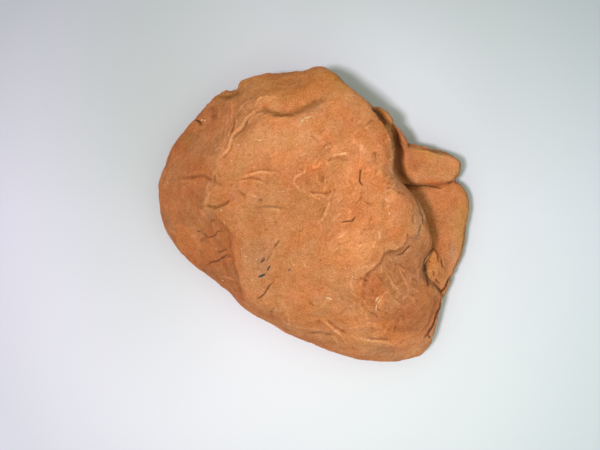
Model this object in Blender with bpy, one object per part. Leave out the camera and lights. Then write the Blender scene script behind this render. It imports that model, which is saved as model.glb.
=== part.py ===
"""A hand-sized lump of soft, iron-stained shale, modelled as the one solid that it is.

A thick upper mass with a folded, flattish top and steep sides sits on a thinner bed. The
bed sticks out at the right as two lobes with a crack between them, and behind them as a
ledge that ends in a thin fin. A deep crevice parts the ledge from the upper mass. Faint
bedding steps run round the sides, and the lump rests on a small flat foot.

The tables are in millimetres and the model is in metres. +Z is up, +X is right and +Y is
away. The foot is at z = 0, and the origin is under the middle of the lump's box.
"""

import math

import bmesh
import bpy
import numpy as np
from mathutils import Vector, noise

MM = 0.001
ON_PLANE = 0.001 * MM

# How finely the shape is worked before it is thinned out
VOXEL = 0.34
TRIANGLES = 9300
ROUNDS = 240
STEPS_PER_SPAN = 7
SOFTENING_ROUNDS = 3
SOFTENING_FACTOR = 0.5

# The upper mass, as closed rings of (x, y, z) from its foot to its crown
MASS_CENTRE = (-3.0, 1.0)
MASS_LOWEST = -0.7
MASS_FOOT = [
    (-13, 1, -0.2), (-11, 8, -0.2), (-4, 12, -0.2), (4, 11.5, -0.2), (10, 7, -0.2),
    (12, 0, -0.2), (10.5, -8, -0.2), (3, -12, -0.2), (-7, -9, -0.2),
]
MASS_LOWER = [
    (-32.5, 3, 4.4), (-30.5, 13, 4.6), (-24, 21.5, 5), (-14, 26, 5.5), (-3, 28, 6.5),
    (6, 26, 7.5), (12, 20, 8), (15, 12, 8), (17, 3, 7), (23, -8, 5), (27, -20, 3.2),
    (25.5, -30, 2.8), (15, -32.5, 2.6), (3, -30, 3), (-9, -24.5, 3.4), (-18.5, -17, 3.8),
    (-27.5, -8.5, 4.1),
]
MASS_RIM = [
    (-40.3, 4, 12), (-39.7, 9, 12), (-37.4, 15, 12), (-34.0, 20.3, 12.5),
    (-29.2, 25.1, 13), (-27.9, 26.8, 13.5), (-25.6, 29.4, 14), (-22.7, 30.7, 15),
    (-20.2, 30.6, 15.5), (-19.5, 33.0, 16), (-15.8, 34.9, 16.5), (-11.8, 35.7, 17.5),
    (-9.2, 35.1, 18), (-2.5, 35.8, 20), (1.2, 36.3, 22), (4.8, 33.9, 25),
    (9.9, 28.8, 27.5), (14.1, 24.8, 28), (17.4, 20.2, 28), (18.9, 15, 28),
    (18.9, 10.5, 27.5), (21.9, 6, 27), (25.6, 2, 26.5), (27.6, -3.5, 25), (28.6, -8, 22),
    (27.5, -13, 18), (29.2, -18, 15), (32.2, -20.7, 13), (31.4, -25, 12),
    (30.2, -30, 11.5), (27.8, -34.8, 10.5), (21.8, -37.7, 9.5), (14.2, -37.3, 9),
    (5.8, -35.2, 9), (-3.1, -32.4, 9.5), (-10.2, -28.5, 10), (-16.8, -25.3, 10),
    (-21.8, -20.3, 10.5), (-27.4, -15.4, 11), (-33.8, -10.8, 11), (-37.3, -5, 11.5),
    (-39.8, 0, 12),
]
MASS_PLATEAU = [
    (-24, 2.5, 30.5), (-26, 9, 29), (-25, 14.5, 28.5), (-21.5, 20, 30), (-17, 24, 30.5),
    (-12, 26.6, 31), (-5, 27, 32), (0, 29, 32.5), (5, 30, 33), (9.5, 27.5, 34),
    (13.7, 23, 34.5), (16.0, 18, 35), (16.6, 13, 35.5), (17.4, 8.5, 35.5), (21.2, 3, 35.5),
    (24, -2, 34), (25, -7, 31.5), (23.5, -12, 28), (24.5, -18, 23.5), (26, -24, 19),
    (24, -30, 17), (17, -32.5, 17), (8, -31, 19.5), (1, -28.5, 22.5), (-6, -25.5, 25),
    (-13, -22.5, 27), (-18, -17.5, 28.5), (-20, -11, 30), (-20.8, -4, 31.5),
]
MASS_CROWN = [
    (-14, 2, 35.5), (-13, 12, 35.5), (-6, 18, 36.5), (3, 18, 38), (10, 12, 39.5),
    (13, 4, 39), (14, -6, 36), (12, -17, 31), (3, -18, 32), (-7, -13, 34),
]
MASS_SUMMIT = 37.6

# The lower bed's pieces: an outline of (x, y, top z), with the height of its underside.
# A profile's pairs are the share of the outline and of the height, from the bottom up.
ROUNDED_SLAB = ((0.60, 0.0), (0.90, 0.09), (1.0, 0.36), (0.99, 0.62), (0.93, 0.86), (0.7, 0.98))
SHARP_SLAB = ((0.70, 0.0), (0.93, 0.12), (1.0, 0.45), (1.0, 0.80), (0.985, 0.96), (0.8, 1.0))
UPPER_LOBE = [
    (22.3, 17.3, 18), (26, 16.9, 17), (30, 15.9, 16.5), (34, 14.7, 16), (36.6, 13.1, 16),
    (36.6, 10.9, 16), (35.3, 8.8, 16), (33.0, 7.6, 16), (30, 7.0, 16), (25, 7.0, 16.5),
    (19, 8.2, 17), (15, 12, 17), (18, 16.6, 18),
]
UPPER_LOBE_UNDERSIDE = 3.4
LOWER_LOBE = [
    (24, 7.2, 14.5), (30, 7.3, 14), (34.8, 8.0, 13), (37.5, 6.6, 12.5), (38.7, 3.5, 12.5),
    (38.7, 0, 12.5), (38.2, -4.5, 12.5), (37.2, -9, 12.5), (35.4, -13.9, 12.5),
    (33.9, -18, 12), (31.6, -22.5, 11.5), (22, -26, 12), (10, -22, 12), (6, -8, 13),
    (12, 3, 14),
]
LOWER_LOBE_UNDERSIDE = 2.6
LEDGE = [
    (14.0, 26.2, 23.5), (16.2, 25.9, 24), (17.8, 24.8, 24), (18.9, 23.4, 23.5),
    (19.7, 22.2, 21.5), (20.8, 21.1, 20), (21.9, 19.2, 20), (22.7, 17.3, 19.5),
    (23.2, 13.5, 18), (23.5, 10, 17.2), (23.6, 8, 16.6), (17, 7, 18), (11, 11, 20),
    (9, 18, 22), (10, 24, 23),
]
LEDGE_UNDERSIDE = 5.0

# Crumbled pieces wedged between the mass and the lower lobe: x, y, z and radius
CRUMBS = [
    (28.9, -10.9, 14.6, 1.9), (29.2, -13.6, 14.4, 2.0), (29.0, -15.9, 13.4, 1.8),
    (30.7, -13.0, 12.4, 2.2), (30.9, -16.4, 11.2, 2.0), (30.6, -18.6, 10.4, 1.7),
]
CRUMB_ROUGHNESS = 0.35
CRUMB_WAVES = 1.7

# The crevice, along a path of (x, y, bottom z, width at the mouth)
CREVICE = [
    (18.7, 22.4, 18.5, 1.0), (19.7, 20.6, 17.5, 2.0), (20.2, 18.5, 17, 2.6),
    (20.8, 15.5, 16.5, 3.0), (20.9, 12.5, 16.5, 3.3), (21.6, 10, 16, 2.7),
    (23.0, 8.1, 15.5, 1.6), (24.8, 6.9, 14, 0.6),
]
CREVICE_TOP = 24.0
CREVICE_BOTTOM_SHARE = 0.7

# Old broken faces, as a point and an outward direction. What lies past one is pressed back.
BROKEN_FACES = {
    "front_left": ((-20.5, -16.7, 5.5), (-0.50, -0.52, -0.70)),
    "left_under": ((-31.0, 6.0, 6.5), (-0.62, 0.10, -0.78)),
    "back_under": ((-6.0, 29.0, 10.0), (0.10, 0.72, -0.69)),
    "back_left": ((-27.0, 20.0, 21.0), (-0.60, 0.55, 0.58)),
    "front_under": ((12.0, -34.8, 4.0), (0.20, -0.72, -0.67)),
}
PRESSED_BACK = 0.75

# Broad swellings (positive) and hollows (negative): middle, radius and height
SWELLINGS = {
    "right_knuckle": ((20.5, 1.5, 37.0), 5.5, 1.6),
    "crown": ((9, 15, 39.0), 11.0, 0.8),
    "upper_corner": ((1.5, 33, 27.0), 5.0, 0.9),
    "hollow_beside_loop": ((0.8, 8.5, 38.0), 3.2, -0.9),
    "scar": ((18, -16, 30.0), 8.0, -1.4),
    "basin_under_scar": ((9, -24, 27.0), 7.0, -0.9),
    "left_facet": ((-28, -4, 24.0), 8.0, -1.2),
    "left_cheek": ((-33, 7, 18.0), 6.0, 0.7),
    "front_roll": ((12, -34, 14.0), 7.0, 0.7),
    "back_hollow": ((-6, 31, 12.0), 8.0, -1.2),
    "under_right": ((14, -12, 2.0), 6.0, 0.6),
}

# Folds (positive) and creases (negative) in the top: a path of (x, y), half width and height
FOLDS = {
    "top_valley": ([(-16.5, 24.4), (-12.5, 26.3), (-6, 25.5), (-1, 27.2), (2.5, 30)], 1.7, -1.9),
    "left_crest": ([(-24.5, 13.5), (-21.8, 17.8), (-19.3, 22), (-17, 25.4), (-13.5, 28)], 1.5, 1.0),
    "left_crest_foot": ([(-20.3, 17.6), (-18.4, 20.4), (-16.4, 23.6)], 1.2, -0.8),
    "left_step": ([(-23.5, 0), (-21.2, -4), (-20.8, -9), (-19.8, -14), (-18.6, -19)], 1.9, -0.7),
    "left_rib": ([(-27.0, 8.5), (-27.0, 4.5), (-28.3, 0)], 1.3, 0.6),
    "middle_rib": ([(-19.5, 8.3), (-15, 10), (-10.5, 10)], 1.1, 0.5),
    "loop_left": ([(4, 13.2), (-0.5, 11.8), (-4.2, 10), (-4.6, 7.2), (-1.5, 5.2)], 1.0, 0.55),
    "loop_right": ([(8.3, 15.3), (5, 14.8), (2.8, 12.8)], 1.0, 0.5),
    "scar_edge": ([(11, -17.5), (13, -14), (16.5, -11), (20, -9.6), (23.5, -7)], 1.8, -0.9),
    "front_fold_left": ([(1, -26.3), (3.5, -27.8), (7, -30.5)], 0.9, 0.7),
    "front_groove_left": ([(3, -26), (6, -28), (9, -29.6)], 1.2, -0.7),
    "front_fold_right": ([(10.5, -30.7), (16, -31.9), (20.5, -33.2)], 0.9, 0.7),
    "front_groove_right": ([(11, -29.4), (15, -30.3), (19.5, -31)], 1.1, -0.8),
    "right_sliver": ([(31.4, -20.5), (30.6, -24), (29, -28.4), (27, -31)], 0.8, -1.1),
}
FOLD_FACING = 0.15
FOLD_TAPER = 5.0
FOLD_END_SHARE = 0.25

# Steps in the bedding, which show on the sides
BED_THICKNESS = 4.1
BED_STEP = 1.0
BED_NORMAL = (0.10, -0.06, 1.0)
BED_WANDER = 3.0
BED_WANDER_LENGTH = 19.0
BED_PATCH_LENGTH = 8.0
BED_PATCH_CONTRAST = 1.3
BED_RISE_SHARE = 0.78
BED_STEEPNESS = 0.45

# Unevenness all over
LUMP_SIZE = 9.0
LUMP_HEIGHT = 0.5
LUMP_OCTAVES = 3

SHALE_COLOUR = (0.54, 0.21, 0.075, 1.0)
SHALE_ROUGHNESS = 0.92


def catmull_rom(a, b, c, d, t):
    """The point at t between b and c on the smooth curve through a, b, c and d."""
    return 0.5 * (
        2 * b + (c - a) * t + (2 * a - 5 * b + 4 * c - d) * t**2
        + (3 * b - a - 3 * c + d) * t**3
    )


def smooth_ring(points, centre):
    """A closed ring of (x, y, z) as a radius and a height at even angles about centre."""
    loop = np.array(points, float)
    before, after, beyond = (np.roll(loop, k, axis=0) for k in (1, -1, -2))
    shares = np.linspace(0.0, 1.0, STEPS_PER_SPAN, endpoint=False)
    curve = np.stack([catmull_rom(before, loop, after, beyond, t) for t in shares], axis=1)
    curve = curve.reshape(-1, 3)
    offset = curve[:, :2] - np.array(centre)
    angle = np.arctan2(offset[:, 1], offset[:, 0])
    even = np.linspace(-math.pi, math.pi, ROUNDS, endpoint=False)
    radius = np.interp(even, *in_order(angle, np.hypot(*offset.T)), period=2 * math.pi)
    height = np.interp(even, *in_order(angle, curve[:, 2]), period=2 * math.pi)
    return np.stack([radius, height], axis=1)


def in_order(angle, value):
    """Both lists, sorted by angle."""
    order = np.argsort(angle)
    return angle[order], value[order]


def loft(name, centre, rings, lowest, highest):
    """A closed lump through rings of (radius, height), from a lowest to a highest point."""
    foot, head = (np.tile([0.0, z], (ROUNDS, 1)) for z in (lowest, highest))
    mirrored = (-1, 1)
    stack = [rings[0] * mirrored, foot, *rings, head, rings[-1] * mirrored]
    levels = []
    for a, b, c, d in zip(stack, stack[1:], stack[2:], stack[3:]):
        for t in np.linspace(0.0, 1.0, STEPS_PER_SPAN, endpoint=False):
            levels.append(catmull_rom(a, b, c, d, t))
    angle = np.linspace(-math.pi, math.pi, ROUNDS, endpoint=False)
    bm = bmesh.new()
    bottom = bm.verts.new((centre[0] * MM, centre[1] * MM, lowest * MM))
    top = bm.verts.new((centre[0] * MM, centre[1] * MM, highest * MM))
    loops = []
    for radius, height in (level.T for level in levels[1:]):
        x = centre[0] + radius * np.cos(angle)
        y = centre[1] + radius * np.sin(angle)
        loops.append([bm.verts.new(p) for p in np.stack([x, y, height], axis=1) * MM])
    for i in range(ROUNDS):
        j = (i + 1) % ROUNDS
        bm.faces.new((bottom, loops[0][j], loops[0][i]))
        bm.faces.new((top, loops[-1][i], loops[-1][j]))
        for low, high in zip(loops, loops[1:]):
            bm.faces.new((low[i], low[j], high[j], high[i]))
    return new_object(name, bm)


def slab(name, outline, underside, profile):
    """A piece of the bed: its outline, filled out by a profile between underside and top."""
    centre = np.array(outline)[:, :2].mean(axis=0)
    rim = smooth_ring(outline, centre)
    rings = []
    for spread, rise in profile:
        height = underside + rise * (rim[:, 1] - underside)
        rings.append(np.stack([rim[:, 0] * spread, height], axis=1))
    return loft(name, centre, rings, underside, rings[-1][:, 1].mean())


def crevice_cutter():
    """The space of the crevice: an upright wedge along its path, open at the top."""
    path = np.array(CREVICE, float)
    ahead = np.gradient(path[:, :2], axis=0)
    side = np.stack([-ahead[:, 1], ahead[:, 0]], axis=1)
    side /= np.linalg.norm(side, axis=1)[:, None]
    bm = bmesh.new()
    sections = []
    for (x, y, bottom, width), (sx, sy) in zip(path, side):
        corners = []
        for half, z in ((width / 2 * CREVICE_BOTTOM_SHARE, bottom), (width / 2, CREVICE_TOP)):
            corners.append([(x - sx * half, y - sy * half, z), (x + sx * half, y + sy * half, z)])
        ring = [*corners[0], *corners[1][::-1]]
        sections.append([bm.verts.new(Vector(c) * MM) for c in ring])
    for a, b in zip(sections, sections[1:]):
        for i in range(4):
            j = (i + 1) % 4
            bm.faces.new((a[i], a[j], b[j], b[i]))
    bm.faces.new(sections[0][::-1])
    bm.faces.new(sections[-1])
    bmesh.ops.recalc_face_normals(bm, faces=bm.faces)
    return new_object("crevice", bm)


def crumb(name, x, y, z, radius):
    """One crumbled piece: a small ball knocked out of round."""
    bm = bmesh.new()
    bmesh.ops.create_icosphere(bm, subdivisions=3, radius=radius * MM)
    place = Vector((x, y, z))
    for v in bm.verts:
        v.co *= 1.0 + CRUMB_ROUGHNESS * noise.noise(v.co.normalized() * CRUMB_WAVES + place)
        v.co += place * MM
    return new_object(name, bm)


def new_object(name, bm):
    """The bmesh as an object in the scene."""
    mesh = bpy.data.meshes.new(name)
    bm.to_mesh(mesh)
    bm.free()
    made = bpy.data.objects.new(name, mesh)
    bpy.context.scene.collection.objects.link(made)
    return made


def joined(name, objects):
    """The objects' meshes in one object, still overlapping."""
    bm = bmesh.new()
    for made in objects:
        bm.from_mesh(made.data)
        bpy.data.objects.remove(made)
    return new_object(name, bm)


def apply_modifiers(made):
    """Gives the object the mesh that its modifiers make, and removes them."""
    graph = bpy.context.evaluated_depsgraph_get()
    mesh = bpy.data.meshes.new_from_object(made.evaluated_get(graph))
    made.modifiers.clear()
    made.data = mesh


def remesh(made):
    """Joins what overlaps into one even skin."""
    modifier = made.modifiers.new("one_skin", "REMESH")
    modifier.mode = "VOXEL"
    modifier.voxel_size = VOXEL * MM
    apply_modifiers(made)


def cut(made, cutter):
    """Takes the cutter's shape out of the object."""
    modifier = made.modifiers.new("cut", "BOOLEAN")
    modifier.operation = "DIFFERENCE"
    modifier.solver = "EXACT"
    modifier.object = cutter
    apply_modifiers(made)
    bpy.data.objects.remove(cutter)


def soften(made):
    """Relaxes the skin, so that joins and cut edges are rounded as in clay."""
    bm = bmesh.new()
    bm.from_mesh(made.data)
    every_way = {"use_axis_x": True, "use_axis_y": True, "use_axis_z": True}
    for _ in range(SOFTENING_ROUNDS):
        bmesh.ops.smooth_vert(bm, verts=bm.verts, factor=SOFTENING_FACTOR, **every_way)
    bm.to_mesh(made.data)
    bm.free()


def read_skin(made):
    """The skin's points in millimetres, and its normals."""
    vertices = made.data.vertices
    points, normals = (np.empty(len(vertices) * 3) for _ in range(2))
    vertices.foreach_get("co", points)
    vertices.foreach_get("normal", normals)
    return points.reshape(-1, 3) / MM, normals.reshape(-1, 3)


def move_skin(made, points):
    """Puts the skin's points, in millimetres, where they are given."""
    made.data.vertices.foreach_set("co", (points * MM).ravel())
    made.data.update()


def distance_to_path(points, path):
    """How far each (x, y) is from the path, and how far along it its nearest point is, 0 to 1."""
    path = np.array(path, float)
    spans = np.linalg.norm(np.diff(path, axis=0), axis=1)
    starts = np.concatenate([[0.0], np.cumsum(spans)])
    nearest = np.full(len(points), np.inf)
    along = np.zeros(len(points))
    for a, b, length, start in zip(path, path[1:], spans, starts):
        t = np.clip((points - a) @ (b - a) / length**2, 0.0, 1.0)
        distance = np.linalg.norm(points - a - t[:, None] * (b - a), axis=1)
        closer = distance < nearest
        nearest[closer] = distance[closer]
        along[closer] = (start + t[closer] * length) / starts[-1]
    return nearest, along


def press_broken_faces(made):
    """Presses the lump back to its broken faces, most of the way."""
    points, _ = read_skin(made)
    for point, outward in BROKEN_FACES.values():
        outward = np.array(outward) / np.linalg.norm(outward)
        beyond = np.clip((points - np.array(point)) @ outward, 0.0, None)
        points -= PRESSED_BACK * beyond[:, None] * outward
    move_skin(made, points)


def swelling_height(points):
    """How far the swellings and hollows move each point."""
    height = np.zeros(len(points))
    for middle, radius, rise in SWELLINGS.values():
        reach = np.linalg.norm(points - np.array(middle), axis=1) / radius
        height += rise * np.exp(-(reach**2))
    return height


def fold_height(points, normals):
    """How far the folds and creases move each point, where the skin faces up."""
    height = np.zeros(len(points))
    for path, half_width, rise in FOLDS.values():
        distance, along = distance_to_path(points[:, :2], path)
        taper = np.clip(FOLD_TAPER * np.minimum(along, 1 - along), FOLD_END_SHARE, 1)
        height += rise * taper * np.exp(-((distance / half_width) ** 2))
    facing = np.clip((normals[:, 2] - FOLD_FACING) / (1 - FOLD_FACING), 0, 1)
    return height * np.sqrt(facing)


def bedding_height(points, normals):
    """How far the steps in the bedding move each point, where the skin is steep."""
    wander = smooth_noise(points, BED_WANDER_LENGTH)
    patches = np.clip(0.5 + BED_PATCH_CONTRAST * smooth_noise(points, BED_PATCH_LENGTH), 0, 1)
    level = points @ np.array(BED_NORMAL) + BED_WANDER * wander
    share = np.mod(level / BED_THICKNESS, 1.0)
    rise = np.minimum(share / BED_RISE_SHARE, (1 - share) / (1 - BED_RISE_SHARE))
    steep = np.clip((BED_STEEPNESS - normals[:, 2]) / BED_STEEPNESS, 0, 1)
    return BED_STEP * (rise - 0.5) * steep * patches


def smooth_noise(points, length, octaves=1):
    """Smooth noise at each point, about -1 to 1, whose waves are about length long."""
    return np.array([noise.fractal(Vector(p) / length, 1.0, 2.0, octaves) for p in points])


def shape_relief(made):
    """Moves the skin along its normals by everything that stands out of it or sinks in."""
    points, normals = read_skin(made)
    height = swelling_height(points) + fold_height(points, normals)
    height += bedding_height(points, normals)
    height += LUMP_HEIGHT * smooth_noise(points, LUMP_SIZE, LUMP_OCTAVES)
    move_skin(made, points + normals * height[:, None])


def thin_out(made):
    """Triangulates the skin and keeps the triangles where the shape needs them."""
    made.modifiers.new("triangles", "TRIANGULATE")
    apply_modifiers(made)
    modifier = made.modifiers.new("thin_out", "DECIMATE")
    modifier.ratio = TRIANGLES / len(made.data.polygons)
    apply_modifiers(made)


def flatten_foot(made):
    """Cuts the underside flat at z = 0 and closes the cut."""
    bm = bmesh.new()
    bm.from_mesh(made.data)
    skin = [*bm.verts, *bm.edges, *bm.faces]
    bmesh.ops.bisect_plane(
        bm, geom=skin, dist=ON_PLANE, plane_co=(0, 0, 0), plane_no=(0, 0, -1), clear_outer=True
    )
    bmesh.ops.holes_fill(bm, edges=[e for e in bm.edges if e.is_boundary])
    bmesh.ops.triangulate(bm, faces=bm.faces)
    bm.to_mesh(made.data)
    bm.free()


def centre_in_plan(made):
    """Moves the mesh so that the middle of its box, seen from above, is over the origin."""
    points, _ = read_skin(made)
    middle = (points.min(axis=0) + points.max(axis=0)) / 2
    middle[2] = 0.0
    move_skin(made, points - middle)


def shale_material():
    """Dull orange-brown, matt and not at all metallic."""
    material = bpy.data.materials.new("shale")
    material.use_nodes = True
    shader = material.node_tree.nodes["Principled BSDF"]
    shader.inputs["Base Color"].default_value = SHALE_COLOUR
    shader.inputs["Roughness"].default_value = SHALE_ROUGHNESS
    shader.inputs["Metallic"].default_value = 0.0
    return material


def build_shale():
    """The whole lump, as one object."""
    mass_rings = (MASS_FOOT, MASS_LOWER, MASS_RIM, MASS_PLATEAU, MASS_CROWN)
    rings = [smooth_ring(points, MASS_CENTRE) for points in mass_rings]
    mass = loft("mass", MASS_CENTRE, rings, MASS_LOWEST, MASS_SUMMIT)
    pieces = [
        mass,
        slab("upper_lobe", UPPER_LOBE, UPPER_LOBE_UNDERSIDE, ROUNDED_SLAB),
        slab("lower_lobe", LOWER_LOBE, LOWER_LOBE_UNDERSIDE, ROUNDED_SLAB),
        slab("ledge", LEDGE, LEDGE_UNDERSIDE, SHARP_SLAB),
    ]
    pieces += [crumb(f"crumb_{i}", *values) for i, values in enumerate(CRUMBS)]
    shale = joined("shale", pieces)
    remesh(shale)
    press_broken_faces(shale)
    cut(shale, crevice_cutter())
    remesh(shale)
    shape_relief(shale)
    soften(shale)
    thin_out(shale)
    flatten_foot(shale)
    centre_in_plan(shale)
    shale.data.shade_smooth()
    shale.data.materials.append(shale_material())


def main():
    for leftover in list(bpy.data.objects):
        bpy.data.objects.remove(leftover)
    build_shale()


main()
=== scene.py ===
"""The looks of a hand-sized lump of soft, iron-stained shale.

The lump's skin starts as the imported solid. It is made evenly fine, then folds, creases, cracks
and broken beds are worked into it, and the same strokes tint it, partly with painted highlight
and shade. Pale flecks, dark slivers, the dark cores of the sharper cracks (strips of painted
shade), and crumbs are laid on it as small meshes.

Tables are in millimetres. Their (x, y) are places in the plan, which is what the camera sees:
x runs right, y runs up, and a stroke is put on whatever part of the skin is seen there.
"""

import math
import random

import bmesh
import bpy
import numpy as np
from mathutils import Matrix, Vector, noise
from mathutils.bvhtree import BVHTree


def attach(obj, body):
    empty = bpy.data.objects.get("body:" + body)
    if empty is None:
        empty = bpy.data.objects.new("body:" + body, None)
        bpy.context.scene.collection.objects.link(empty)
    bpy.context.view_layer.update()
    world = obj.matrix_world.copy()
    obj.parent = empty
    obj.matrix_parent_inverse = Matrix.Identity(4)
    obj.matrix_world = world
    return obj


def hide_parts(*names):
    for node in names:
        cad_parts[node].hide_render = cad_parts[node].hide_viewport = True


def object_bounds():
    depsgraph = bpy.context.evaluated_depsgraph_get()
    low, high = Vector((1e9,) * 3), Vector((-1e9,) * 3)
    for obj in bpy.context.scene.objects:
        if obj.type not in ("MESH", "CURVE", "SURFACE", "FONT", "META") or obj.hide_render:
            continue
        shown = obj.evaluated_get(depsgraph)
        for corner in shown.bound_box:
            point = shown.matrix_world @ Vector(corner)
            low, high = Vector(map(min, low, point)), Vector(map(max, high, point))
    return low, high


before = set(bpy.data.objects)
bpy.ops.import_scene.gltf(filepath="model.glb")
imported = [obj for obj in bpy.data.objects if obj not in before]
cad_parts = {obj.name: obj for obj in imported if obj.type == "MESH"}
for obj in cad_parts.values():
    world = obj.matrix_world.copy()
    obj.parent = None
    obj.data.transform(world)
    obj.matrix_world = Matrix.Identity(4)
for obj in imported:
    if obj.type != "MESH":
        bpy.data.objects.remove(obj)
cad_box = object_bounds()

MM = 0.001
SEED = 7

# The camera looks straight down, and shows what is within its range. The plan is level with the
# middle of the lump's height.
CAMERA_XY = (-3.625, -2.375)
CAMERA_HEIGHT = 620.0
PLAN_HEIGHT = 20.0
PLAN_ORIGIN = (0.25, 0.25)
FIELD_WIDTH = 150.0
SENSOR_WIDTH = 36.0
CAMERA_RANGE = (10.0, 6200.0)

# How finely the skin is worked, and how much it is smoothed before and after its relief
SUBDIVISIONS = 2
VOXEL = 0.25
WELD = 0.001
SMOOTHING_ROUNDS = 14
FINAL_SMOOTHING_ROUNDS = 1
SMOOTHING_SHARE = 0.5

# How many triangles the skin keeps, where it keeps most of them, by its normal's z, how coarse
# it is there, and the digits that this is rounded to
TRIANGLES = 194000
DETAILED = (-0.2, 0.3)
TOP_DETAIL = 0.2
COARSE_DIGITS = 1

# The rim of the scar, which a stroke and a stained region both follow
SCAR_RIM = [
    (12, -15), (13, -14.3), (14.5, -13), (15.7, -12), (16.2, -10.8), (17, -9.2), (18.5, -8.6),
    (20.5, -8.4), (22, -7), (23, -5.5), (24.5, -5),
]
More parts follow.
